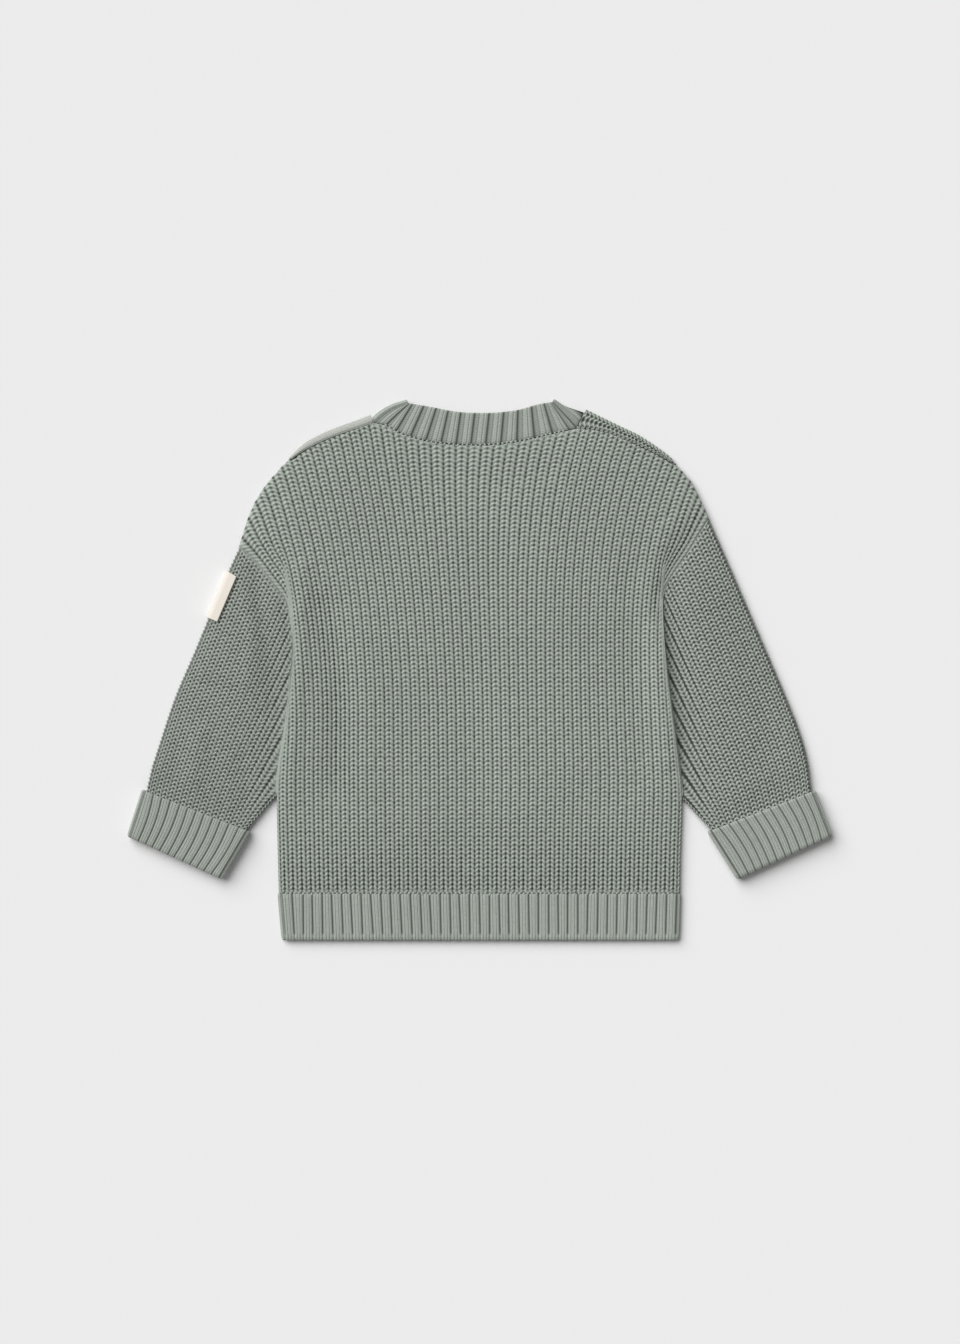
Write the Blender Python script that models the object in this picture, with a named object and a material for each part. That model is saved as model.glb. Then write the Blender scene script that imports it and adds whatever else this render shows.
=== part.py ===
"""A baby's chunky knitted sweater, laid flat on its front with its back up.

+X runs along the sleeves to the right, +Y towards the neck and +Z up from the surface it lies on.
The tables hold plan positions in millimetres from the middle of the garment's outline; meshes are
made in metres. Heights count up from the surface: the front lies on it, the back on the front.
"""

import math
from collections import namedtuple

import bmesh
import bpy
import numpy as np

MM = 0.001

Point = namedtuple("Point", "x y")
BodySection = namedtuple("BodySection", "left_x left_y right_x right_y")
EdgeStrip = namedtuple("EdgeStrip", "along width")
StripPoint = namedtuple("StripPoint", "share inset height")
ShoulderEdge = namedtuple("ShoulderEdge", "outline reach widths inward_side")
Fold = namedtuple("Fold", "start end spread height")
BandPoint = namedtuple("BandPoint", "end step out rib")
HemRow = namedtuple("HemRow", "down full under end")
WrapRow = namedtuple("WrapRow", "turn rise")
Cuff = namedtuple("Cuff", "top_outer top_under bottom_outer bottom_under")
Sleeve = namedtuple("Sleeve", "outer_edge cuff")

# ---- Cloth --------------------------------------------------------------------------------------
CLOTH = 2.2                     # wall of the body and sleeve knit
FRONT_ROUNDING = 1.0            # how far the front's lower edge is rounded off
GAP = 0.3                       # air between two layers, and between two pieces at a seam
WALE_RISE = 0.7                 # how far a column of stitches stands up
RIB_RISE = 1.0                  # how far a rib of the bands stands up
RIB_GROOVE = 0.24               # part of a band's rib that is the groove
SEAM_EDGE = 0.62                # share of the wall's thickness left where it turns into a seam
SEAM_TURN = 4.0                 # how far from a seam the wall begins to turn in
FREE_EDGE = 0.35                # the same two at the garment's outer edge
FREE_TURN = 5.0
NECK_EDGE = 0.85                # and at the neck seam
NECK_TURN = 3.0
LAYER_Z = CLOTH + GAP           # underside of the upper layer
MIDDLE_Z = CLOTH + GAP / 2      # halfway between the two layers
TUBE_IN = GAP / 2               # inner and outer face of a flattened tube, from that middle
TUBE_OUT = GAP / 2 + CLOTH
SEAM_STEP = 0.4                 # how far across a sleeve is set back from the armhole seam
FOLD_TURNS = np.array([0.25, 0.5, 0.75])    # where a flattened ring turns over, in half turns

# ---- Body ---------------------------------------------------------------------------------------
WALES = 46                      # columns of stitches across the back
NECK_FIRST_WALE = 15            # those that end at the neck seam
NECK_LAST_WALE = 32
WAIST_SPREAD = 0.13             # how much wider the middle columns are than the outer ones
EDGE_COLUMN = 0.3               # share of a wale at which the wall's turned-in edge begins

# The side edge from the hem seam up past the underarm, then up the armhole seam to the shoulder point
BODY_SECTIONS = (
    BodySection(-130.7, -145.0, 129.7, -145.0),
    BodySection(-131.5, -115.0, 130.4, -115.0),
    BodySection(-132.0, -82.0, 131.3, -84.0),
    BodySection(-130.5, -62.0, 129.2, -62.0),
    BodySection(-127.6, -45.0, 126.6, -42.0),
    BodySection(-125.0, -27.0, 124.0, -23.0),
    BodySection(-122.8, -7.0, 121.5, -3.0),
    BodySection(-121.2, 13.0, 119.6, 15.0),
    BodySection(-122.2, 30.0, 118.5, 33.0),
    BodySection(-125.4, 44.0, 118.6, 49.0),
    BodySection(-132.6, 54.0, 124.0, 60.5),
    BodySection(-142.0, 66.0, 134.4, 75.5),
    BodySection(-149.4, 74.0, 141.8, 87.5),
    BodySection(-156.7, 80.0, 148.8, 98.8),
)
UNDERARM_ROW = 2
LAST_ROW = len(BODY_SECTIONS) - 1
# The row numbers at which the back has a row of points, closer together near its ends
BACK_ROWS = (0, 0.08) + tuple(range(1, LAST_ROW)) + (LAST_ROW - 0.15, LAST_ROW)

# Outer edge of each shoulder, from the shoulder point to the neckband
LEFT_SHOULDER = (
    Point(-156.7, 80.0), Point(-149.5, 102.1), Point(-141.1, 117.7), Point(-126.8, 134.6),
    Point(-115.1, 146.3), Point(-104.0, 152.8), Point(-92.3, 157.8), Point(-80.0, 162.2),
    Point(-71.0, 165.6),
)
RIGHT_SHOULDER = (
    Point(148.8, 98.8), Point(138.5, 120.3), Point(131.3, 129.2), Point(120.9, 140.4),
    Point(103.4, 152.4), Point(94.3, 156.8), Point(77.4, 165.0), Point(68.9, 169.2),
)
# The plain edge of the left shoulder's opening, and the front where it turns over the right shoulder:
# their widths, by the share of the way from the neckband to where each runs out
PLACKET_REACH = 0.47            # share of the left shoulder that the placket covers
PLACKET = (
    EdgeStrip(0.0, 5.2), EdgeStrip(0.4, 5.0), EdgeStrip(0.75, 4.2), EdgeStrip(1.0, 1.6),
)
OVERTURN_REACH = 0.60           # share of the right shoulder that the front turns over
OVERTURN_FOOT = 3.2             # how far the turned-over edge reaches into the front's wall
OVERTURN = (
    EdgeStrip(0.0, 13.6), EdgeStrip(0.12, 10.0), EdgeStrip(0.3, 6.9), EdgeStrip(0.6, 5.9),
    EdgeStrip(0.85, 3.4), EdgeStrip(1.0, 1.6),
)
OVERTURN_SLOT = 1.8             # its open inner side begins this far inside the shoulder's outer edge
LEFT_EDGE = ShoulderEdge(LEFT_SHOULDER, PLACKET_REACH, PLACKET, 1)
RIGHT_EDGE = ShoulderEdge(RIGHT_SHOULDER, OVERTURN_REACH, OVERTURN, -1)
STRIP_STATIONS = 12
STRIP_END_CLEARANCE = 0.6       # more room for the back round a strip's thin end
STRIP_END_GAP = 0.04            # share of the shoulder past that end where the back reaches its edge
BARE_STATIONS = 20
FRONT_SHOULDER_STATIONS = 16

# Across the placket: share of its width, and how far further inward, then the height
PLACKET_SECTION = (
    StripPoint(0.0, 0.0, LAYER_Z), StripPoint(0.0, -0.2, 3.3), StripPoint(0.18, 0.0, 4.3),
    StripPoint(0.5, 0.0, 4.8), StripPoint(1.0, 0.0, 4.9), StripPoint(1.0, 0.0, LAYER_Z),
)
# Across the part of the front's edge that lies on the back, from its outer roll inward
OVERTURN_SECTION = (
    StripPoint(0.0, 1.2, 0.4), StripPoint(0.0, -0.1, 1.2), StripPoint(0.0, -0.4, 2.4),
    StripPoint(0.0, 0.0, 3.6), StripPoint(0.0, 1.1, 4.4), StripPoint(0.5, 0.9, 4.8),
    StripPoint(1.0, 0.0, 4.6), StripPoint(1.0, 0.0, 2.6),
)
OVERTURN_SLOT_HEIGHT = (2.6, 1.9)
OVERTURN_FOOT_HEIGHT = 0.4

# ---- Neckband -----------------------------------------------------------------------------------
NECK_RIBS = 13
NECK_STEP = 0.5                 # how far the band is set back from the neck seam
# From the left shoulder's fold to the right one: the seams, then the free edges
BACK_NECK_SEAM = (
    Point(-60.8, 158.6), Point(-51.4, 153.6), Point(-41.6, 150.4), Point(-28.6, 147.6),
    Point(-13.7, 146.3), Point(1.3, 146.0), Point(16.3, 147.0), Point(31.2, 149.5),
    Point(46.2, 153.0), Point(54.0, 154.8),
)
BACK_NECK_EDGE = (
    Point(-46.6, 173.4), Point(-38.4, 172.1), Point(-29.9, 170.6), Point(-13.7, 167.7),
    Point(5.9, 167.1), Point(22.1, 168.6), Point(31.2, 170.8), Point(38.4, 172.8), Point(46.9, 174.1),
)
FRONT_NECK_SEAM = (
    Point(-63.0, 146.0), Point(-50.0, 127.0), Point(-28.0, 111.5), Point(0.0, 106.0),
    Point(28.0, 111.5), Point(50.0, 127.5), Point(61.0, 148.0),
)
FRONT_NECK_EDGE = (
    Point(-46.6, 173.4), Point(-42.5, 159.0), Point(-34.0, 145.5), Point(-18.0, 135.5),
    Point(0.0, 132.0), Point(18.0, 135.5), Point(34.0, 146.0), Point(42.5, 159.5), Point(46.9, 174.1),
)
FRONT_BAND_STATIONS = 16
FRONT_NECK_INSET = 2.2          # how far inside a shoulder's outer edge the front's neck seam ends
# Round the band's section: seam (0) or free edge (1), step towards that edge, distance out from the
# middle of the flattened ring, and share of a rib's rise
NECK_SECTION = (
    BandPoint(0, 0.0, TUBE_IN, 0.0), BandPoint(1, -0.6, TUBE_IN, 0.0),
    BandPoint(1, 0.0, 0.5 * (TUBE_IN + TUBE_OUT), 0.0), BandPoint(1, -1.2, TUBE_OUT, 0.8),
    BandPoint(0, 2.0, TUBE_OUT, 1.0), BandPoint(0, 0.0, TUBE_OUT, 0.5),
)

# ---- Hem band -----------------------------------------------------------------------------------
HEM_RIBS = 40
HEM_TOP_LEFT = Point(-131.2, -145.0 - GAP)
HEM_TOP_RIGHT = Point(130.2, -145.0 - GAP)
HEM_BOTTOM_LEFT = Point(-127.0, -175.0)
HEM_BOTTOM_RIGHT = Point(128.0, -175.0)
HEM_SCALLOP = 0.6               # how far each rib's end stands past the grooves
HEM_UNDER_COLUMNS = 12
HEM_INNER_STEP = 6              # the inner face has a point for each sixth one of the outer face
# Share down the band, share of the wall's thickness above and below, and of the ribs' scalloped ends
HEM_ROWS = (
    HemRow(0.0, 0.75, 1.0, 0.0), HemRow(0.06, 1.0, 1.0, 0.0), HemRow(0.92, 1.0, 1.0, 0.0),
    HemRow(1.0, 0.55, 0.6, 1.0),
)

# ---- Sleeves and cuffs --------------------------------------------------------------------------
SLEEVE_WALES = 15
ARMHOLE_BEND = 0.53             # share of the sleeve's columns that start above the armhole's bend
BEND_ROW = 9
SLEEVE_ROWS = (0.0, 0.04, 0.14, 0.26, 0.39, 0.52, 0.65, 0.77, 0.87, 0.94, 0.975, 1.0)
SLEEVE_LIFT = 1.3               # how far the upper layer stands off the lower one
SEAM_LIFT = 0.45                # share of that lift at the armhole seam
FOLD_SETTLE = 0.2               # share of the way down by which the folds run square to the sleeve
CUFF_WALL = 1.8                 # each of a turned-up cuff's two layers
CUFF_SLOT = 0.4                 # air between those layers
CUFF_LIP = 3.3                  # how far the turned-up edge reaches back over the sleeve
CUFF_MID = TUBE_IN + CUFF_WALL  # the inner layer's outer face, from the middle of the flattened cuff
CUFF_OUT = CUFF_MID + CUFF_SLOT + CUFF_WALL
CUFF_RIBS = 12
CUFF_RISE = 0.7
CUFF_RAMP = 27.0                # how far before its end a sleeve begins to rise to the cuff's middle
CUFF_CLEARANCE = 0.5            # how far the sleeve's end lies inside the cuff's fold
CUFF_UNDER_COLUMNS = 5
FIRST_COLUMN = 0.012            # where a sleeve's faces begin, inside its folds
# Round the cuff's section: turned-up edge (0) or folded end (1), step towards that end, distance out
# from the middle, and share of a rib's rise
CUFF_SECTION = (
    BandPoint(0, CUFF_LIP, TUBE_IN, 0.0), BandPoint(1, -1.8, TUBE_IN, 0.0),
    BandPoint(1, -0.2, 0.35 * CUFF_OUT, 0.0), BandPoint(1, -0.2, 0.75 * CUFF_OUT, 0.4),
    BandPoint(1, -1.8, CUFF_OUT, 1.0), BandPoint(0, 0.8, CUFF_OUT, 1.0),
    BandPoint(0, 0.0, 0.85 * CUFF_OUT, 0.5), BandPoint(0, 0.0, CUFF_MID + CUFF_SLOT, 0.0),
    BandPoint(1, -3.5, CUFF_MID + CUFF_SLOT, 0.0), BandPoint(1, -3.5, CUFF_MID, 0.0),
    BandPoint(0, CUFF_LIP, CUFF_MID, 0.0),
)

SLEEVES = {
    "left": Sleeve(
        outer_edge=(Point(-156.7, 80.0), Point(-163.6, 65.0), Point(-177.5, 32.5), Point(-185.6, 13.0),
                    Point(-198.8, -18.0), Point(-209.2, -49.0), Point(-214.6, -66.0)),
        cuff=Cuff(Point(-219.4, -77.6), Point(-149.0, -105.0), Point(-229.2, -108.0), Point(-167.4, -136.2)),
    ),
    "right": Sleeve(
        outer_edge=(Point(148.8, 98.8), Point(157.2, 80.0), Point(164.6, 63.0), Point(183.2, 20.0),
                    Point(197.4, -13.0), Point(207.8, -39.0), Point(213.6, -60.0)),
        cuff=Cuff(Point(217.6, -78.0), Point(147.6, -105.0), Point(229.2, -107.6), Point(167.1, -136.2)),
    ),
}

# ---- Label --------------------------------------------------------------------------------------
LABEL_WALL = 0.6
LABEL_FROM = 0.10               # share of the way down the sleeve
LABEL_TO = 0.29
LABEL_WIDTH = 7.0               # how far it reaches over the sleeve's upper face
LABEL_CLEAR = 0.35
LABEL_RISE = 1.7                # its inner edge lies this much higher, on the sleeve's raised columns
LABEL_STATIONS = 5
LABEL_WRAP = (WrapRow(0.12, 0.6), WrapRow(0.3, 0.3), WrapRow(0.5, 0.1), WrapRow(0.7, 0.0))

# ---- Largest folds of the back: ridges stand up, troughs sink -------------------------------------
DOME = 1.3                      # how far the back stands off the front, away from its edges
DOME_REACH = 16.0
FOLD_RUN_OUT = 6.0              # the folds run out over this distance from an edge
BODY_FOLDS = (
    Fold(Point(-112.0, 30.0), Point(-118.0, -70.0), 6.0, 0.9),
    Fold(Point(-99.0, 48.0), Point(-96.0, -70.0), 7.0, -1.0),
    Fold(Point(109.0, 45.0), Point(118.0, -70.0), 6.0, 1.1),
    Fold(Point(103.0, 30.0), Point(104.0, -60.0), 6.0, -0.8),
    Fold(Point(-60.0, -60.0), Point(-40.0, 90.0), 26.0, 0.5),
    Fold(Point(50.0, -70.0), Point(45.0, 80.0), 26.0, 0.5),
)

# ---- Materials: colour and roughness --------------------------------------------------------------
SAGE_KNIT = (0.232, 0.262, 0.230, 1.0)
SAGE_RIB = (0.275, 0.310, 0.272, 1.0)
CREAM_TAPE = (0.76, 0.72, 0.66, 1.0)
KNIT_ROUGHNESS = 0.95
TAPE_ROUGHNESS = 0.8


# ---- Plan curves --------------------------------------------------------------------------------
def mix(start, end, share):
    """The value that lies a share of the way from start to end."""
    return start + (end - start) * share


def unit(vector):
    """A vector's direction."""
    return np.asarray(vector, float) / np.linalg.norm(vector)


def smooth_line(points, steps=10):
    """A smooth line through the points, as rows of x and y (Catmull-Rom)."""
    through = np.array(points, float)
    through = np.vstack([2 * through[0] - through[1], through, 2 * through[-1] - through[-2]])
    share = np.linspace(0, 1, steps, endpoint=False)[:, None]
    line = []
    for a, b, c, d in zip(through, through[1:], through[2:], through[3:]):
        line.append(0.5 * (2 * b + (c - a) * share + (2 * a - 5 * b + 4 * c - d) * share ** 2
                           + (3 * b - a - 3 * c + d) * share ** 3))
    return np.vstack(line + [through[-2:-1]])


def along(line, shares):
    """Points at shares of a line's length."""
    reach = np.concatenate([[0], np.cumsum(np.hypot(*np.diff(line, axis=0).T))])
    wanted = np.asarray(shares, float) * reach[-1]
    return np.stack([np.interp(wanted, reach, line[:, axis]) for axis in (0, 1)], axis=-1)


def left_normals(line):
    """Unit vectors pointing to the left of a line at each of its points."""
    run = np.gradient(line, axis=0)
    run /= np.linalg.norm(run, axis=1, keepdims=True)
    return np.stack([-run[:, 1], run[:, 0]], axis=-1)


def distance(points, line):
    """How far each point lies from a line of straight stretches."""
    start = line[:-1]
    stretch = np.diff(line, axis=0)
    offset = np.asarray(points)[..., None, :] - start
    share = np.clip((offset * stretch).sum(-1) / (stretch ** 2).sum(-1), 0, 1)
    return np.linalg.norm(offset - share[..., None] * stretch, axis=-1).min(-1)


def triangle_wave(count, across):
    """Rises from 0 to 1 and back once in each of count columns."""
    return 1 - np.abs(2 * ((np.asarray(across) * count) % 1) - 1)


def table_value(table, along_share):
    """The width that a table of EdgeStrip rows gives at a share of the way."""
    return np.interp(along_share, [row.along for row in table], [row.width for row in table])


# ---- The shoulders' edge pieces -------------------------------------------------------------------
def shoulder_strip(edge):
    """A strip along a shoulder's outer edge: its outer line, its inward normals and its widths."""
    outline = smooth_line(edge.outline)[::-1]
    share = np.linspace(0, 1, STRIP_STATIONS)
    outer = along(outline, share * edge.reach)
    inward = left_normals(outer) * edge.inward_side
    return outer, inward, table_value(edge.widths, share)


def strip_sections(edge, section):
    """Points of a section's table at each station along a shoulder's strip."""
    outer, inward, widths = shoulder_strip(edge)
    sections = []
    for start, normal, width in zip(outer, inward, widths):
        insets = [row.share * width + row.inset for row in section]
        sections.append([(*(start + normal * inset), row.height) for row, inset in zip(section, insets)])
    return sections


def shoulder_seam(edge):
    """The back's edge from the shoulder point up to the neck, keeping off the strip beside it."""
    outer, inward, width = shoulder_strip(edge)
    extra = STRIP_END_CLEARANCE * np.linspace(0, 1, STRIP_STATIONS) ** 4
    beside = outer + inward * (width + GAP + extra)[:, None]
    bare = along(smooth_line(edge.outline)[::-1], np.linspace(edge.reach + STRIP_END_GAP, 1, BARE_STATIONS))
    return np.vstack([beside, bare])[::-1]


def back_neck_line():
    """The back's neck seam, from the inner edge of one shoulder's strip to that of the other."""
    left_corner = shoulder_seam(LEFT_EDGE)[-1]
    right_corner = shoulder_seam(RIGHT_EDGE)[-1]
    return smooth_line([left_corner, *BACK_NECK_SEAM, right_corner])


def front_neck_line():
    """The front's neck seam, from just inside one shoulder's outer edge to the other."""
    ends = []
    for edge in (LEFT_EDGE, RIGHT_EDGE):
        outer, inward, _ = shoulder_strip(edge)
        ends.append(outer[0] + inward[0] * FRONT_NECK_INSET)
    return smooth_line([ends[0], *FRONT_NECK_SEAM, ends[1]])


# ---- The body's plan ------------------------------------------------------------------------------
def body_side(row, side):
    """A point of the body's left or right edge at a row number, which may lie between two rows."""
    rows = np.arange(len(BODY_SECTIONS))
    table = np.array(BODY_SECTIONS)
    first = 0 if side == "left" else 2
    return np.array([np.interp(row, rows, table[:, first]), np.interp(row, rows, table[:, first + 1])])


def body_height_share(row):
    """How far up the side edge a row lies, as a share of that edge's length."""
    table = np.array(BODY_SECTIONS)
    steps = np.hypot(np.diff(table[:, 0]), np.diff(table[:, 1]))
    reach = np.concatenate([[0], np.cumsum(steps)])
    return np.interp(row, np.arange(len(reach)), reach / reach[-1])


def back_top(across):
    """The back's top edge at shares of the way across: shoulder, neck seam, shoulder."""
    first = NECK_FIRST_WALE / WALES
    last = NECK_LAST_WALE / WALES
    left = shoulder_seam(LEFT_EDGE)
    right = shoulder_seam(RIGHT_EDGE)[::-1]
    neck = back_neck_line()
    top = np.empty((len(across), 2))
    for line, low, high in ((left, 0, first), (neck, first, last), (right, last, 1)):
        here = (across >= low) & (across <= high)
        top[here] = along(line, (across[here] - low) / (high - low))
    return top


def back_plan(across, rows):
    """Plan positions of the back, one row of points for each row number."""
    top = back_top(across)
    top_left = body_side(LAST_ROW, "left")
    top_right = body_side(LAST_ROW, "right")
    crown = top - mix(top_left, top_right, across[:, None])
    plan = []
    for row in rows:
        up = body_height_share(row)
        spread = WAIST_SPREAD * 4 * up * (1 - up)
        shared = across - spread * np.sin(2 * math.pi * across) / (2 * math.pi)
        line = mix(body_side(row, "left"), body_side(row, "right"), shared[:, None])
        plan.append(line + crown * np.array([up ** 3, up]))
    return np.array(plan)


def side_line(side, first_row, last_row):
    """The body's edge between two rows of its table."""
    return np.array([body_side(row, side) for row in range(first_row, last_row + 1)])


# ---- The back's height ----------------------------------------------------------------------------
def turned_in(points, line, low, reach):
    """Share of the wall's thickness left near an edge, where the cloth rolls in."""
    near = np.clip(distance(points, line) / reach, 0, 1)
    return low + (1 - low) * np.sqrt(1 - (1 - near) ** 2)


def fold_height(points, folds):
    """Height that a table of soft ridges and troughs adds at each point."""
    height = np.zeros(np.asarray(points).shape[:-1])
    for fold in folds:
        off = distance(points, np.array([fold.start, fold.end]))
        height += fold.height * np.exp(-(off / fold.spread) ** 2)
    return height


def back_edges():
    """The back's edges: those at the garment's outline, and those that meet a seam."""
    left_outline = smooth_line(LEFT_SHOULDER)
    right_outline = smooth_line(RIGHT_SHOULDER)
    free = (side_line("left", 0, UNDERARM_ROW), side_line("right", 0, UNDERARM_ROW),
            left_outline[: len(left_outline) // 2], right_outline[: len(right_outline) // 2])
    seams = (side_line("left", UNDERARM_ROW, LAST_ROW), side_line("right", UNDERARM_ROW, LAST_ROW))
    return free, seams


def back_lift(points):
    """How far the back stands off the front."""
    free, seams = back_edges()
    rim = np.min([distance(points, line) for line in free + seams], axis=0)
    settled = 1 - np.exp(-rim / DOME_REACH)
    folds = fold_height(points, BODY_FOLDS) * np.clip(rim / FOLD_RUN_OUT, 0, 1)
    return np.maximum(0, DOME * settled + folds)


def back_thickness(points):
    """Share of the wall's thickness that the back has at each point."""
    free, seams = back_edges()
    shares = [turned_in(points, line, FREE_EDGE, FREE_TURN) for line in free]
    shares += [turned_in(points, line, SEAM_EDGE, SEAM_TURN) for line in seams]
    shares.append(turned_in(points, back_neck_line(), NECK_EDGE, NECK_TURN))
    return np.min(shares, axis=0)


# ---- Meshes ---------------------------------------------------------------------------------------
def add_points(bm, grid):
    """Adds a grid of points in millimetres as vertices in metres."""
    flat = [bm.verts.new(point * MM) for point in np.asarray(grid, float).reshape(-1, 3)]
    columns = np.shape(grid)[1]
    return [flat[start:start + columns] for start in range(0, len(flat), columns)]


def skin(bm, rows, round_columns=False, round_rows=False):
    """Faces between neighbouring rows and columns of vertices."""
    row_count = len(rows)
    column_count = len(rows[0])
    for i in range(row_count if round_rows else row_count - 1):
        this, following = rows[i], rows[(i + 1) % row_count]
        for j in range(column_count if round_columns else column_count - 1):
            k = (j + 1) % column_count
            bm.faces.new((this[j], this[k], following[k], following[j]))


def zip_rows(bm, fine, coarse, kept, is_ring=False):
    """Faces between a row of vertices and one that has only its kept columns."""
    opposite = [sum(1 for column in kept if column <= i) - 1 for i in range(len(fine))]
    for i in range(len(fine) if is_ring else len(fine) - 1):
        k = (i + 1) % len(fine)
        corners = [fine[i], fine[k], coarse[opposite[k]], coarse[opposite[i]]]
        bm.faces.new(list(dict.fromkeys(corners)))


def new_object(name, bm, colour, roughness=KNIT_ROUGHNESS, collection=None):
    """A smooth-shaded object from a finished mesh, with a material of its own."""
    bmesh.ops.recalc_face_normals(bm, faces=bm.faces)
    mesh = bpy.data.meshes.new(name)
    bm.to_mesh(mesh)
    bm.free()
    mesh.shade_smooth()
    mesh.set_sharp_from_angle(angle=math.radians(50))
    material = bpy.data.materials.new(name)
    material.use_nodes = True
    shader = material.node_tree.nodes["Principled BSDF"]
    shader.inputs["Base Color"].default_value = colour
    shader.inputs["Roughness"].default_value = roughness
    shader.inputs["Metallic"].default_value = 0.0
    mesh.materials.append(material)
    piece = bpy.data.objects.new(name, mesh)
    (collection or bpy.data.collections["baby_sweater"]).objects.link(piece)
    return piece


def sheet_solid(name, outer, inner, kept, colour):
    """A cloth wall with four edges; the inner grid has only the outer one's kept columns."""
    bm = bmesh.new()
    outer_rows = add_points(bm, outer)
    inner_rows = add_points(bm, inner)
    skin(bm, outer_rows)
    skin(bm, inner_rows)
    zip_rows(bm, outer_rows[0], inner_rows[0], kept)
    zip_rows(bm, outer_rows[-1], inner_rows[-1], kept)
    for column in (0, -1):
        skin(bm, [[row[column] for row in outer_rows], [row[column] for row in inner_rows]])
    return new_object(name, bm, colour)


def tube_solid(name, outer, inner, kept, colour):
    """A tube's cloth wall; the inner rings have only the outer ones' kept columns."""
    bm = bmesh.new()
    outer_rows = add_points(bm, outer)
    inner_rows = add_points(bm, inner)
    skin(bm, outer_rows, round_columns=True)
    skin(bm, inner_rows, round_columns=True)
    zip_rows(bm, outer_rows[0], inner_rows[0], kept, is_ring=True)
    zip_rows(bm, outer_rows[-1], inner_rows[-1], kept, is_ring=True)
    return new_object(name, bm, colour)


def loft_solid(name, sections, colour, roughness=KNIT_ROUGHNESS, ends_meet=False, collection=None):
    """A solid through closed sections, capped at its ends unless they meet."""
    bm = bmesh.new()
    rings = add_points(bm, sections)
    skin(bm, rings, round_columns=True, round_rows=ends_meet)
    if not ends_meet:
        bm.faces.new(rings[0])
        bm.faces.new(rings[-1])
    return new_object(name, bm, colour, roughness, collection)


# ---- Body pieces ----------------------------------------------------------------------------------
def make_back():
    """The back, its columns of stitches raised on the outside."""
    edge = EDGE_COLUMN / WALES
    across = np.concatenate([[0, edge], np.arange(1, 2 * WALES) / (2 * WALES), [1 - edge, 1]])
    plan = back_plan(across, BACK_ROWS)
    lift = back_lift(plan)
    share = back_thickness(plan)
    relief = WALE_RISE * triangle_wave(WALES, across) * share ** 2
    outer = np.dstack([plan, LAYER_Z + lift + CLOTH * share + relief])
    kept = [0] + list(range(2, len(across) - 2, 2)) + [len(across) - 1]
    inner = np.dstack([plan, LAYER_Z + lift])[:, kept]
    return sheet_solid("back_panel", outer, inner, kept, SAGE_KNIT)


def front_outline():
    """The front's outline in plan, from the hem's left end round to its right end."""
    stations = np.linspace(0, 1, FRONT_SHOULDER_STATIONS)
    left_shoulder = along(smooth_line(LEFT_SHOULDER), stations)[1:]
    right_shoulder = along(smooth_line(RIGHT_SHOULDER), stations)[::-1]
    neck = along(front_neck_line(), np.linspace(0, 1, FRONT_BAND_STATIONS))
    left_side = side_line("left", 0, LAST_ROW)
    right_side = side_line("right", 0, LAST_ROW)[::-1][1:]
    return np.vstack([left_side, left_shoulder, neck, right_shoulder, right_side])


def make_front():
    """The front: a flat wall on the surface, turned over the right shoulder to meet the back."""
    outline = front_outline()
    foot = outline - left_normals(outline) * FRONT_ROUNDING
    bm = bmesh.new()
    rings = [np.column_stack([line, np.full(len(line), height)])
             for line, height in ((foot, 0.0), (outline, FRONT_ROUNDING), (outline, CLOTH))]
    rows = add_points(bm, rings)
    skin(bm, rows, round_columns=True)
    bm.faces.new(rows[0])
    bm.faces.new(rows[-1])
    front = new_object("front_panel", bm, SAGE_KNIT)
    joined = front.modifiers.new("turned over the shoulder", "BOOLEAN")
    joined.operation = "UNION"
    joined.object = make_overturn()
    return front


def make_overturn():
    """The front's edge where it rolls over the right shoulder, as a hook along that shoulder."""
    sections = strip_sections(RIGHT_EDGE, OVERTURN_SECTION)
    outer, inward, widths = shoulder_strip(RIGHT_EDGE)
    for section, start, normal, width in zip(sections, outer, inward, widths):
        slot = min(OVERTURN_SLOT, width - GAP)
        section += [(*(start + normal * slot), height) for height in OVERTURN_SLOT_HEIGHT]
        foot = start + normal * OVERTURN_FOOT
        section += [(*foot, OVERTURN_SLOT_HEIGHT[-1]), (*foot, OVERTURN_FOOT_HEIGHT)]
    hook = loft_solid("front_overturn", sections, SAGE_KNIT, collection=bpy.data.collections["joined_in"])
    hook.hide_render = True
    hook.display_type = "WIRE"
    return hook


def make_placket():
    """The plain finished edge along the left shoulder, lying on the front's edge."""
    return loft_solid("shoulder_placket", strip_sections(LEFT_EDGE, PLACKET_SECTION), SAGE_RIB)


# ---- Bands ----------------------------------------------------------------------------------------
def rib_columns(ribs):
    """Shares of the way across at which a band's grooves and rib tops lie, and each one's rise."""
    across = []
    rise = []
    for rib in range(ribs):
        across += [rib / ribs, (rib + RIB_GROOVE) / ribs, (rib + 1 - RIB_GROOVE) / ribs]
        rise += [0.0, 1.0, 1.0]
    return np.array(across + [1.0]), np.array(rise + [0.0])


def ring_stations(upper, lower):
    """Round a flattened ring: shares across, and half turns from facing up to facing down."""
    across = np.concatenate([upper, np.ones(len(FOLD_TURNS)), lower, np.zeros(len(FOLD_TURNS))])
    turns = np.concatenate([np.zeros(len(upper)), FOLD_TURNS, np.ones(len(lower)), FOLD_TURNS[::-1]])
    return across, turns


def facing(outward, turn):
    """The unit vector that has made part of a half turn from up, through outward in plan, to down."""
    angle = turn * math.pi
    return np.array([*(np.asarray(outward) * math.sin(angle)), math.cos(angle)])


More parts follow.
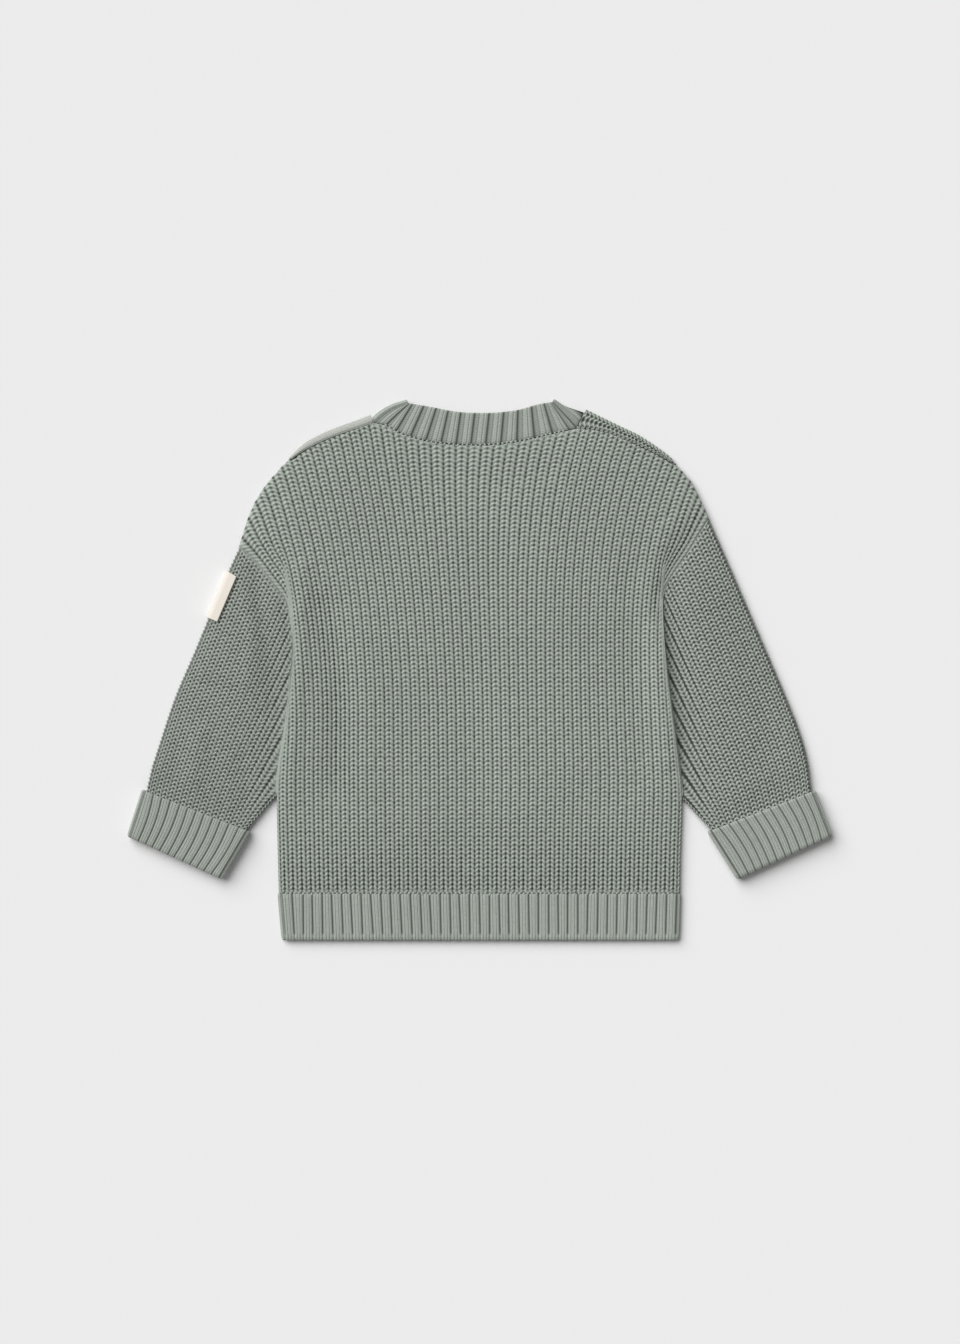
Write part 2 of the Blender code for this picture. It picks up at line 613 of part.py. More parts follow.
def make_neckband():
    """The neckband: a ribbed ring, folded flat at the shoulders, its front half lower than its back."""
    upper, rise = rib_columns(NECK_RIBS)
    lower = np.linspace(1, 0, FRONT_BAND_STATIONS)
    across, turns = ring_stations(upper, lower)
    ribs = np.concatenate([rise, np.zeros(len(across) - len(rise))])
    back_seam = back_neck_line()
    back_edge = smooth_line(BACK_NECK_EDGE)
    front_seam = front_neck_line()
    front_edge = smooth_line(FRONT_NECK_EDGE)
    folds = [-shoulder_strip(edge)[1][0] for edge in (LEFT_EDGE, RIGHT_EDGE)]
    sections = []
    for share, turn, rib in zip(across, turns, ribs):
        seam = mix(along(back_seam, share), along(front_seam, share), turn)
        edge = mix(along(back_edge, share), along(front_edge, share), turn)
        run = unit(edge - seam)
        normal = facing(folds[round(share)], turn)
        section = []
        for row in NECK_SECTION:
            base = mix(seam + run * NECK_STEP, edge, row.end) + run * row.step
            section.append(np.append(base, MIDDLE_Z) + normal * (row.out + RIB_RISE * rib * row.rib))
        sections.append(section)
    return loft_solid("neckband", sections, SAGE_RIB, ends_meet=True)


def make_hem():
    """The hem band: a flattened ring with ribs on its upper side and a flat underside."""
    upper, rise = rib_columns(HEM_RIBS)
    across, turns = ring_stations(upper, np.linspace(1, 0, HEM_UNDER_COLUMNS))
    ribs = np.concatenate([rise, np.zeros(len(across) - len(rise))])
    outer = []
    inner = []
    for row in HEM_ROWS:
        left = mix(np.array(HEM_TOP_LEFT), np.array(HEM_BOTTOM_LEFT), row.down) + [TUBE_OUT, 0]
        right = mix(np.array(HEM_TOP_RIGHT), np.array(HEM_BOTTOM_RIGHT), row.down) - [TUBE_OUT, 0]
        out = []
        into = []
        for share, turn, rib in zip(across, turns, ribs):
            normal = facing((-1 if share < 0.5 else 1, 0), turn)
            base = np.append(mix(left, right, share), MIDDLE_Z)
            reach = mix(TUBE_IN, TUBE_OUT, row.full if turn < 1 else row.under) + RIB_RISE * rib * row.full
            out.append(base + normal * reach - [0, HEM_SCALLOP * rib * row.end, 0])
            into.append(base + normal * TUBE_IN)
        outer.append(out)
        inner.append(into)
    kept = list(range(0, len(upper) - 1, HEM_INNER_STEP)) + list(range(len(upper) - 1, len(across)))
    return tube_solid("hem_band", outer, np.array(inner)[:, kept], kept, SAGE_RIB)


# ---- Sleeves --------------------------------------------------------------------------------------
class SleevePlan:
    """Plan of a sleeve: shares across run from its outer edge to the underarm, down from the armhole."""

    def __init__(self, side):
        sleeve = SLEEVES[side]
        self.cuff = Cuff(*(np.array(corner) for corner in sleeve.cuff))
        line = unit(self.cuff.top_under - self.cuff.top_outer)
        self.down = unit(self.cuff.bottom_outer + self.cuff.bottom_under
                         - self.cuff.top_outer - self.cuff.top_under)
        inset = CUFF_OUT - CUFF_MID + CUFF_CLEARANCE
        to_end = self.down * (CUFF_LIP - GAP)
        self.end_outer = self.cuff.top_outer + line * inset + to_end
        self.end_under = self.cuff.top_under - line * inset + to_end
        self.outer_line = smooth_line([*sleeve.outer_edge, self.end_outer])
        armhole = side_line(side, UNDERARM_ROW, LAST_ROW)[::-1]
        bend = LAST_ROW - BEND_ROW
        self.armhole_parts = ((armhole[:bend + 1], 0, ARMHOLE_BEND), (armhole[bend:], ARMHOLE_BEND, 1))
        self.seam_gap = np.array([-SEAM_STEP if side == "left" else SEAM_STEP, -GAP / 2])

    def armhole_point(self, across):
        """Where a share across starts on the armhole, whose upper part has more columns to its length."""
        points = np.empty(across.shape + (2,))
        for line, low, high in self.armhole_parts:
            here = (across >= low) & (across <= high)
            points[here] = along(line, (across[here] - low) / (high - low))
        return points

    def corner_columns(self):
        """Shares across at which the armhole's straight stretches meet."""
        shares = []
        for line, low, high in self.armhole_parts:
            reach = np.concatenate([[0], np.cumsum(np.hypot(*np.diff(line, axis=0).T))])
            shares += list(mix(low, high, reach / reach[-1]))
        return np.unique(np.round(shares[1:-1], 6))

    def at(self, across, down):
        """Plan points at shares across, for one share down."""
        across = np.atleast_1d(np.asarray(across, float))
        top = self.armhole_point(across) + self.seam_gap
        bottom = mix(self.end_outer, self.end_under, across[:, None])
        bow = along(self.outer_line, down) - mix(self.outer_line[0], self.end_outer, down)
        return mix(top, bottom, down) + bow * (1 - across[:, None])

    def outward(self, edge, down):
        """The direction in plan out of the tube at its outer (0) or underarm (1) fold."""
        point = self.at(edge, down)[0]
        to_edge = unit(point - self.at(abs(edge - 0.02), down)[0])
        run = unit(self.at(edge, min(down + 0.02, 1))[0] - self.at(edge, max(down - 0.02, 0))[0])
        square = np.array([-run[1], run[0]])
        square *= np.sign(square @ to_edge)
        return unit(mix(to_edge, square, min(down / FOLD_SETTLE, 1)))

    def into_cuff(self, points):
        """From 0 on the open sleeve to 1 where it has risen to enter the cuff."""
        before_end = (self.end_outer - points) @ self.down
        share = np.clip((CUFF_RAMP - before_end) / (CUFF_RAMP - 2 * CUFF_LIP), 0, 1)
        return share ** 2 * (3 - 2 * share)


def sleeve_ring(plan, upper, lower, down):
    """Outer and inner points round a sleeve at one share down it."""
    across, turns = ring_stations(upper, lower)
    base = plan.at(across, down)
    outward = {edge: plan.outward(edge, down) for edge in (0, 1)}
    wall = mix(CLOTH, CUFF_WALL, plan.into_cuff(base))
    middle = mix(MIDDLE_Z, CUFF_OUT, plan.into_cuff(base))
    for edge in (0, 1):
        at_fold = np.abs(across - edge) < FIRST_COLUMN * 1.5
        base[at_fold] = plan.at(edge, down)[0] - outward[edge] * (TUBE_IN + CLOTH)
    crown = 1 - (2 * across - 1) ** 4
    open_sleeve = (1 - plan.into_cuff(base)) * crown * (turns == 0)
    air = SLEEVE_LIFT * open_sleeve * (SEAM_LIFT if down == 0 else 1.0)
    relief = WALE_RISE * triangle_wave(SLEEVE_WALES, across) * open_sleeve * (down > 0)
    seam = np.where((turns == 0) & (down == 0), SEAM_EDGE, 1.0)
    outer = []
    inner = []
    for i, turn in enumerate(turns):
        normal = facing(outward[round(across[i])], turn)
        start = np.append(base[i], middle[i]) + normal * (TUBE_IN + air[i])
        outer.append(start + normal * (wall[i] * seam[i] + relief[i]))
        inner.append(start)
    return outer, inner


def make_sleeve(side):
    """A sleeve: a flattened tube, its columns of stitches raised on the upper side."""
    plan = SleevePlan(side)
    corners = plan.corner_columns()
    columns = np.arange(1, 2 * SLEEVE_WALES) / (2 * SLEEVE_WALES)
    upper = np.unique(np.concatenate([[FIRST_COLUMN], columns, corners, [1 - FIRST_COLUMN]]))
    lower = np.concatenate([[FIRST_COLUMN], corners, [1 - FIRST_COLUMN]])[::-1]
    rings = [sleeve_ring(plan, upper, lower, down) for down in SLEEVE_ROWS]
    outer = np.array([outer for outer, inner in rings])
    inner = np.array([inner for outer, inner in rings])
    kept = list(range(0, len(upper) - 1, 2)) + list(range(len(upper) - 1, outer.shape[1]))
    return tube_solid("sleeve_" + side, outer, inner[:, kept], kept, SAGE_KNIT)


def make_cuff(side):
    """A turned-up cuff: two layers joined by the fold at its end, ribbed on the upper side."""
    cuff = SleevePlan(side).cuff
    upper, rise = rib_columns(CUFF_RIBS)
    across, turns = ring_stations(upper, np.linspace(1, 0, CUFF_UNDER_COLUMNS))
    ribs = np.concatenate([rise, np.zeros(len(across) - len(rise))])
    length = np.linalg.norm(cuff.bottom_outer - cuff.top_outer)
    sections = []
    for share, turn, rib in zip(across, turns, ribs):
        section = []
        for row in CUFF_SECTION:
            down = row.end + row.step / length
            outer = mix(cuff.top_outer, cuff.bottom_outer, down)
            under = mix(cuff.top_under, cuff.bottom_under, down)
            line = unit(under - outer)
            base = mix(outer + line * CUFF_OUT, under - line * CUFF_OUT, share)
            normal = facing(-line if share < 0.5 else line, turn)
            section.append(np.append(base, CUFF_OUT) + normal * (row.out + CUFF_RISE * rib * row.rib))
        sections.append(section)
    return loft_solid("cuff_" + side, sections, SAGE_RIB, ends_meet=True)


def make_label():
    """The woven label that wraps round the left sleeve's outer fold."""
    plan = SleevePlan("left")
    sections = []
    for down in np.linspace(LABEL_FROM, LABEL_TO, LABEL_STATIONS):
        outward = plan.outward(0, down)
        base = np.append(plan.at(0, down)[0] - outward * TUBE_OUT, MIDDLE_Z)
        to_end = np.append(outward, 0) * (LABEL_WIDTH - TUBE_OUT)
        faces = []
        for clear in (TUBE_OUT + LABEL_CLEAR, TUBE_OUT + LABEL_CLEAR + LABEL_WALL):
            face = [base - to_end + [0, 0, clear + LABEL_RISE]]
            for row in LABEL_WRAP:
                face.append(base + [0, 0, row.rise * LABEL_RISE] + facing(outward, row.turn) * clear)
            faces.append(face)
        sections.append(faces[0] + faces[1][::-1])
    return loft_solid("sleeve_label", sections, CREAM_TAPE, TAPE_ROUGHNESS)


def main():
    for leftover in list(bpy.data.objects):
        bpy.data.objects.remove(leftover)
    for name in ("baby_sweater", "joined_in"):
        bpy.context.scene.collection.children.link(bpy.data.collections.new(name))
    make_back()
    make_front()
    make_placket()
    make_neckband()
    make_hem()
    for side in SLEEVES:
        make_sleeve(side)
        make_cuff(side)
    make_label()


main()
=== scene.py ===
"""The looks of a baby's chunky knitted sweater that lies flat on its front with its back up.

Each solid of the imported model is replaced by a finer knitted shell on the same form. Tables hold plan
positions in millimetres from the middle of the garment's outline, +X to the right and +Y to the neck;
heights count up from the surface that it lies on. Meshes are made in metres.
"""

import math
from collections import namedtuple

import bmesh
import bpy
import numpy as np
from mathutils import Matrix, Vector


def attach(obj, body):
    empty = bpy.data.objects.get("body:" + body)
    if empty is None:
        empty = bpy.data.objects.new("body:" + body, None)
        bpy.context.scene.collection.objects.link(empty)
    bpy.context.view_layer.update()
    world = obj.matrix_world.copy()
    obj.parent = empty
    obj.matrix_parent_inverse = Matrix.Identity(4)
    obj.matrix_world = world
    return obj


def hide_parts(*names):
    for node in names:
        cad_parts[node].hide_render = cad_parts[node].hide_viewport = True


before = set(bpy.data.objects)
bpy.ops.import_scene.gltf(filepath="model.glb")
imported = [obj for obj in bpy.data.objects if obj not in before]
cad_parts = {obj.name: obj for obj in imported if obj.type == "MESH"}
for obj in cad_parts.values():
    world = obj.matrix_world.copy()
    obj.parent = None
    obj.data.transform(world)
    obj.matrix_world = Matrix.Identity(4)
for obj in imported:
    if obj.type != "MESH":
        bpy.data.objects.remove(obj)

MM = 0.001

ShoulderEdge = namedtuple("ShoulderEdge", "outline reach widths inward_side")
Crease = namedtuple("Crease", "line spread height")
Cuff = namedtuple("Cuff", "top_outer top_under bottom_outer bottom_under")
Sleeve = namedtuple("Sleeve", "outer_edge cuff sink creases")
Yarn = namedtuple("Yarn", "strand gap")
Stitch = namedtuple("Stitch", "middle_valley middle_hole middle_focus side_valley side_hole side_focus")

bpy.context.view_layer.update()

# ---- Cloth, as in the solids ----
CLOTH = 2.2  # wall of the body and sleeve knit
GAP = 0.3  # air between two layers, and between two pieces at a seam
SEAM_EDGE, SEAM_TURN = 0.80, 1.8  # share of the wall left at a seam, and how far off it turns in
FREE_EDGE, FREE_TURN = 0.45, 3.8  # the same at the garment's outer edge
NECK_EDGE, NECK_TURN = 0.85, 1.6  # and at the neck seam
HEM_EDGE, HEM_TURN = 0.85, 1.4  # and at the hem seam
LAYER_Z = CLOTH + GAP  # underside of the upper layer
MIDDLE_Z = CLOTH + GAP / 2  # halfway between the two layers
TUBE_IN = GAP / 2  # inner and outer face of a flattened tube, from that middle
TUBE_OUT = GAP / 2 + CLOTH
SEAM_STEP = 0.12  # how far across a sleeve is set back from the armhole seam
RIM_STEP = 0.12  # how much nearer the two layers come at the garment's edges
RIM_REACH = 2.0
FOOT = 0.05  # height of the lowest strands over the surface

# ---- Stitches ----
COURSE = 2.86  # height of a row of stitches
POINT_ROWS = 4  # rows of points in each row of stitches
POINT_COLUMNS = 4  # columns of points in each wale
CHEVRON = 0.5  # how much higher a strand is beside a wale than in its middle, in courses
LEG_FROM, LEG_TO = 0.15, 0.85  # between which shares of the way out of a wale's middle it rises
WALE_RISE = 0.75  # how far the two legs of a wale's stitches stand up
# Depth of the valleys in a wale's middle and between two wales, how much deeper the holes in them are, and
# how narrow; the material paints shade into the colour by the same depths
BODY_STITCH = Stitch(0.58, 0.46, 1.6, 0.30, 0.58, 2.4)
SLEEVE_STITCH = Stitch(0.34, 0.72, 1.8, 0.32, 0.70, 1.9)
FINE_STITCH = Stitch(0.10, 0.40, 2.0, 0.80, 0.30, 3.0)
HOLE_DEPTH = 1.7
HOLE_POWER = 0.8  # below 1, holes are longer than the strands between them
STRAND_SWELL = 0.12  # how much a strand swells and thins from row to row
FOLD_SWELL = 0.25  # how much more it does so round a sleeve's folds
UNEVEN_TABLE = (97, 89)  # size of the table of uneven stitches
UNEVEN_STITCHES = 0.25  # how much the holes' depths differ
PLAIN_REACH = 1.7  # how far off an armhole seam the stitches fade into plain fabric
END_PLAIN, END_REACH = 0.7, 1.9  # how plain they get at the hem and neck seams, and how far off
PLAIN_HEIGHT = 0.3  # the plain fabric's height there
PLAIN_SHADE = 0.26  # its tone, from 0, a strand's, to 1, a gap's
GROOVE = 0.45  # how much deeper the valleys between wales are near the hem, and so darker with painted shade
GROOVE_COURSES = 11.0  # and how many rows up that reaches
EDGE_BUMP = 0.5  # how far a shoulder's outline goes in and out with the wales
INNER_COLUMN_STEP = 4  # the inner face has a point for each fourth column and eighth row
INNER_ROW_STEP = 8

# ---- Body ----
WALES = 46  # columns of stitches across the back
NECK_FIRST_WALE = 15  # those that end at the neck seam
NECK_LAST_WALE = 31
SLOPE_SHARE = 0.40  # how much a shoulder's slope counts, against its width, in sharing out columns
FAN_POWER = 3  # above 1, the columns fan out mostly near the shoulders
PRESS = 2.6  # width over which columns that would run past an armhole are pressed together
TIGHT_WALE, OPEN_WALE = 1.8, 3.6  # widths of a wale at which its stitches are quite plain, and all there
# Its side edges from the hem up to the shoulders: left x and y, right x and y
BODY_SECTIONS = (
    (-130.7, -145, 129.7, -145), (-131.5, -115, 130.4, -115), (-132, -82, 131.3, -84),
    (-130.5, -62, 129.2, -62), (-127.6, -45, 126.6, -42), (-125, -27, 124, -23), (-122.8, -7, 121.5, -3),
    (-121.2, 13, 119.6, 15), (-122.2, 30, 118.5, 33), (-125.4, 44, 118.6, 49), (-132.6, 54, 124, 60.5),
    (-142, 66, 134.4, 75.5), (-149.4, 74, 141.8, 87.5), (-156.7, 80, 148.8, 98.8),
)
# Where the outermost columns would run if the armholes were not cut out
LEFT_RUN = (
    (-130.7, -145), (-131.6, -115), (-132.2, -82), (-132.6, -40), (-135.5, 0), (-140.8, 30), (-147.7, 54),
    (-156.7, 80),
)
RIGHT_RUN = (
    (129.7, -145), (130.6, -115), (131.4, -84), (130, -42), (129, 0), (131, 30), (137, 60), (148.8, 98.8),
)
UNDERARM_ROW = 2
SIDE_STEPS = 4  # points of the smooth side line for each row of the table
COLUMN_SAMPLES = 160  # places at which the length of a column is measured
SMALL_STEP = 0.002  # a step of a share, to measure widths

LEFT_SHOULDER = (
    (-156.7, 80), (-149.5, 102.1), (-141.1, 117.7), (-126.8, 134.6), (-115.1, 146.3), (-104, 152.8),
    (-92.3, 157.8), (-80, 162.2), (-71, 165.6),
)
RIGHT_SHOULDER = (
    (148.8, 98.8), (138.5, 120.3), (131.3, 129.2), (120.9, 140.4), (103.4, 152.4), (94.3, 156.8),
    (77.4, 165), (68.9, 169.2),
)
PLACKET_REACH = 0.47  # share of the shoulder's outline that it runs along
# Shares of that reach, and the strip's widths there
PLACKET = (
    (0, 5.2), (0.4, 5), (0.75, 4.2), (1, 1.6),
)
OVERTURN_REACH = 0.60
OVERTURN = (
    (0, 13.6), (0.12, 10), (0.3, 6.9), (0.6, 5.9), (0.85, 3.4), (1, 1.6),
)
LEFT_EDGE = ShoulderEdge(LEFT_SHOULDER, PLACKET_REACH, PLACKET, 1)
RIGHT_EDGE = ShoulderEdge(RIGHT_SHOULDER, OVERTURN_REACH, OVERTURN, -1)
STRIP_STATIONS = 12
STRIP_END_CLEARANCE = 0.6
STRIP_END_GAP = 0.04
BARE_STATIONS = 20

# Across the placket: share of its width, and how far further inward, then the height
PLACKET_SECTION = (
    (0, 0, 2.4), (0, -0.2, 3), (0.06, -0.1, 3.9), (0.2, 0, 4.6), (0.45, 0, 5), (0.75, 0, 5),
    (0.95, 0.1, 4.6), (1, 0.3, 3.9), (1, 0, 2.6),
)
PLACKET_STATIONS = 90
# Across the front's edge where it turns over onto the back, from underneath round its roll and inward
OVERTURN_SECTION = (
    (0, 2.4, 0.3), (0, 1, 0.35), (0, 0.1, 0.9), (0, -0.4, 1.9), (0, -0.3, 3), (0, 0.4, 4.1),
    (0.08, 1, 4.9), (0.3, 0.8, 5.2), (0.6, 0.4, 5.1), (0.9, 0.1, 4.9), (1, 0.3, 4.3), (1, 0, 3.2),
)
OVERTURN_WALL = 1.6
OVERTURN_WALES = 3.6
OVERTURN_STATIONS = 240
OVERTURN_ROW_STEP, OVERTURN_COLUMN_STEP = 8, 3  # for its inner face
OVERTURN_RUN_OUT = 12.0  # it thins out over this distance from its end
OVERTURN_END = 0.3  # share of its wall left there
OVERTURN_WIDTH, PLACKET_CUT, PLACKET_SHOWN = 14.0, 11.0, 7.0  # widths of the cut strips

# ---- Neckband ----
NECK_RIBS = 14
FRONT_NECK_RIBS = 19
NECK_STEP = 0.5  # how far the band is set back from the neck seam
BACK_NECK_SEAM = (
    (-60.8, 158.6), (-51.4, 153.6), (-41.6, 150.4), (-28.6, 147.6), (-13.7, 146.3), (1.3, 146),
    (16.3, 147), (31.2, 149.5), (46.2, 153), (54, 154.8),
)
BACK_NECK_EDGE = (
    (-46.6, 173.4), (-38.4, 172.1), (-29.9, 170.6), (-13.7, 167.7), (5.9, 167.1), (22.1, 168.6),
    (31.2, 170.8), (38.4, 172.8), (46.9, 174.1),
)
FRONT_NECK_SEAM = (
    (-63, 146), (-50, 127), (-28, 111.5), (0, 106), (28, 111.5), (50, 127.5), (61, 148),
)
FRONT_NECK_EDGE = (
    (-46.6, 173.4), (-42.5, 159), (-34, 145.5), (-18, 135.5), (0, 132), (18, 135.5), (34, 146),
    (42.5, 159.5), (46.9, 174.1),
)
# Shares across the back's half, and where its ribs there meet the seam and the free edge, as shares
# of these lines
NECK_FAN = (
    (0, 0, 0), (0.071, 0.060, 0.010), (0.143, 0.117, 0.032), (0.286, 0.268, 0.198), (0.429, 0.415, 0.368),
    (0.571, 0.556, 0.562), (0.714, 0.707, 0.760), (0.857, 0.883, 0.944), (0.929, 0.968, 0.990), (1, 1, 1),
)
NECK_STRIP = 0.4  # share of each of its ribs that is a lower strip, beside the groove
NECK_STRIP_SINK = 0.70  # and how much of the rib's height that strip lacks
NECK_STRIP_SHADE = 0.38
NECK_STRIP_BLUR = 0.05  # softness of that strip's edge
NECK_BULGE = 1.6  # how far its left fold bows outward
NECK_BULGE_REACH = 0.05  # share across that this reaches
NECK_ROUND = 0.5 * CLOTH  # its free edge turns over in this radius
NECK_ROUND_ROWS = 8
NECK_INNER_ROWS = (0.8, 0.4, 0.0)  # shares of its depth at which its inner face has points
NECK_TURN_IN, NECK_TURN_REACH = 0.35, 1.2  # how much thinner it is at the seam, and how far off
FRONT_NECK_INSET = 2.2  # how far inside a shoulder's outer edge the front's neck seam ends

# ---- Ribs of the bands ----
RIB_COLUMNS = 12  # columns of points in each rib
RIB_RISE = 1.0
RIB_SETTLE = 0.25  # how far the shown side's relief is set into the wall
RIB_COURSE = 1.6
NECK_RISE = 0.9 * RIB_RISE  # the neckband's ribs are lower
FOLD_COLUMNS = 6  # columns of points round each fold of a flattened band
FULL_BAND, FULL_HEM = 0.93, 0.98  # share of a flat band's rectangle that it fills
RIB_POINT_ROWS = 3
RIB_WANDER = 0.35  # how far a groove strays sideways
GROOVE_POWER = 9.0  # above 1, a rib is broad and its groove narrow
RIB_STITCH = 0.16  # relief of the fine stitches on a rib
FINE_WALES = 3  # columns of fine stitches on each rib

# ---- Hem band ----
HEM_RIBS = 40
HEM_TOP = np.array([(-131.2, -145.3), (130.2, -145.3)])  # left and right corners
HEM_BOTTOM = np.array([(-128.6, -175.0), (129.2, -175.0)])
HEM_LEAN = -1.9  # how much less the grooves on the left lean than the hem's side edge
HEM_LEAN_MIDDLE, HEM_LEAN_SPREAD = 0.05, 0.09  # shares across at which they do so
HEM_SCALLOP = 0.6  # how far each rib's end stands out from the edge
SCALLOP_POWER = 12  # above 1, mostly right at that edge
HEM_INNER_ROW_STEP, HEM_INNER_COLUMN_STEP = 8, 6
CAST_OFF = 3.2  # depth of the plain cast-off edge below the grooves
CAST_OFF_BLUR = 0.35  # how softly the ribs change into it
CAST_OFF_RISE = 0.6 * RIB_RISE
CAST_OFF_BUMP = 0.3
HEM_SETTLE = 0.3  # how far the shown side's relief is set into the wall
HEM_RAMP = 20  # grooves stray fully from 1 / HEM_RAMP of the way across, off the folds
HEM_TURN_IN, CAST_OFF_TURN_IN, HEM_TURN_REACH = 0.15, 0.5, 0.8  # it thins at the seam and the edge
LOOP = (0.85, 1.05, 0.55)  # half sizes of a seam's loop: along the seam, across it and up
LOOP_SHIFT = 0.45  # how far off the seam's line a loop lies
LOOP_SIDES, LOOP_RINGS = 8, 5
LOOP_SCALES = (0.75, 1.15)  # least and largest
LEG_WALE, LEG_COURSE = 0.25, 0.25  # a place on a stitch's leg, where there is no hole
LOOP_HEIGHTS = (4.6, 4.75, 4.75, 4.6)  # from the row's start to its end
LOOPS_INSET = 4  # how far inside the hem's ends its loops start
LOOP_TILT = 0.35  # how far loops lean either way, in radians
CORD_STATIONS = 120  # points along an armhole's seam
CORD_ENDS = (0.01, 0.99)  # shares of the seam
CORD_SIDES = 10
CORD_WIDE, CORD_HIGH = 0.8, 0.7  # half sizes of the strip that closes it
CORD_Z = 3.75
CORD_LIFT = 0.6  # how far it follows the body's raised edge
HEM_LOOPS = 92
NECK_LOOPS = 42
NECK_LOOPS_CLEAR = 8  # points of the neck seam without loops at each end

# ---- Sleeves and cuffs ----
SLEEVE_WALES = 16
FOLD_WALES = 1.5  # wales round each fold of a flattened sleeve
SLEEVE_COURSE = 2.75
SLEEVE_LIFT = 2.4  # how far the upper layer stands off the lower one
SINK_SPREAD = 17.0  # how far off the armhole a sleeve sinks beside the body's fold
SINK_FROM = 0.42  # share across at which that starts
SINK_PRESS = 0.55  # how much of the wall is pressed away there
SINK_GROOVE = 1.0  # and how much deeper its grooves are, which also paints them darker with shade
SINK_RAMP = 5  # it is all there 1 / SINK_RAMP further across
SINK_STITCHES = 0.7  # share of the plain fabric at the seam that keeps its stitches there
SEAM_AIR, SETTLE_REACH = 0.35, 9.0  # share of the lift at the armhole, and how far off it grows
FOLD_STEP = 0.02  # a step of a share, to find a fold's direction
FOLD_SETTLE = 0.2  # share of the way down by which the folds run square to the sleeve
FOLD_INSET_POWER = 12
SLEEVE_SAMPLES = 40  # points on each side of its outline, to measure its area
CUFF_WALL = 1.8  # each of a turned-up cuff's two layers
CUFF_SLOT = 0.4  # air between those layers
CUFF_LIP = 3.3  # how far the turned-up edge reaches back over the sleeve
CUFF_MID = TUBE_IN + CUFF_WALL
CUFF_OUT = CUFF_MID + CUFF_SLOT + CUFF_WALL
CUFF_RIBS = 12
CUFF_RISE = 0.8
CUFF_NARROW = 0.6  # width in plan of the fold along its side, as a share of a round one's
CUFF_WANDER = 0.6  # how far its grooves stray sideways
CUFF_FACE_LESS = 3  # how much shorter than the cuff its ribbed face is
CUFF_FOLD_RAMP = 12  # as HEM_RAMP
CUFF_BOW = 1.2  # how far they bend to the right halfway down
CUFF_RAMP = 27.0  # how far before its end a sleeve begins to rise to the cuff's middle
CUFF_CLEARANCE = 0.5
CUFF_FACE = ((0, 1.0), (1, -2.4))  # where its ribbed face starts and ends, counted as below
# Round the cuff's section: turned-up edge (0) or folded end (1), step towards that end, distance out
# from the middle, and share of a rib's rise
CUFF_FOLD = (
    (1, -1.3, 0.93 * CUFF_OUT, 0.9), (1, -0.5, 0.80 * CUFF_OUT, 0.7), (1, -0.1, 0.62 * CUFF_OUT, 0.5),
    (1, -0.1, 0.42 * CUFF_OUT, 0.4), (1, -0.5, 0.24 * CUFF_OUT, 0.2), (1, -1.4, TUBE_IN + 0.2, 0),
    (1, -3, TUBE_IN, 0), (0, CUFF_LIP, TUBE_IN, 0), (0, CUFF_LIP, CUFF_MID, 0), (1, -3.5, CUFF_MID, 0),
    (1, -3.5, CUFF_MID + CUFF_SLOT, 0), (0, 1.2, CUFF_MID + CUFF_SLOT, 0),
    (0, 0.3, CUFF_MID + CUFF_SLOT + 0.2, 0.1), (0, 0, 0.75 * CUFF_OUT, 0.3),
    (0, 0.3, 0.92 * CUFF_OUT, 0.7),
)

SLEEVES = {
    "left": Sleeve(
        outer_edge=((-156.7, 80), (-163.6, 65), (-177.5, 32.5), (-185.6, 13),
                    (-198.8, -18), (-209.2, -49), (-214.6, -66)),
        cuff=Cuff((-219.4, -77.6), (-149, -105), (-229.2, -108), (-167.4, -136.2)),
        sink=0.45,
        creases=(
            Crease(((-147, 62), (-137, 15), (-132, -30)), 7, -1.6),
            Crease(((-152, 56), (-148, 20), (-151, -8)), 5, 0.8),
            Crease(((-174, -8), (-156, -18), (-141, -28)), 5.5, -1.1),
            Crease(((-182, -42), (-188, -82)), 6, 1),
            Crease(((-196, -48), (-199, -78)), 5, -0.9),
            Crease(((-154, -58), (-149, -88)), 6, -1.2),
        ),
    ),
    "right": Sleeve(
        outer_edge=((148.8, 98.8), (157.2, 80), (164.6, 63), (183.2, 20),
                    (197.4, -13), (207.8, -39), (213.6, -60)),
        cuff=Cuff((217.6, -78), (147.6, -105), (229.2, -107.6), (167.1, -136.2)),
        sink=1.0,
        creases=(
            Crease(((124, 62), (128, 0), (137, -85)), 9, -2),
            Crease(((140, 50), (158, 0), (170, -42)), 14, 0.7),
            Crease(((164, 40), (181, -6), (192, -46)), 7, -0.7),
            Crease(((150, -36), (166, -62), (174, -84)), 8, 0.6),
            Crease(((184, -52), (197, -74)), 7, -0.8),
        ),
    ),
}

# ---- Label ----
LABEL_WALL = 0.6
LABEL_FROM = 0.10  # share of the way down the sleeve
LABEL_TO = 0.29
LABEL_WIDTH = 7.0  # how far it reaches over the sleeve's upper face
LABEL_CLEAR = 0.35
LABEL_RISE = 1.7
LABEL_FOLD_RISE = 0.45 * LABEL_RISE  # and near the fold
LABEL_TURN = 0.72  # half turns that it wraps round the fold
LABEL_FLAT_ROWS, LABEL_FOLD_ROWS = 8, 11  # rows of points before the fold and round it
LABEL_COURSES = 50
LABEL_STATIONS = 48

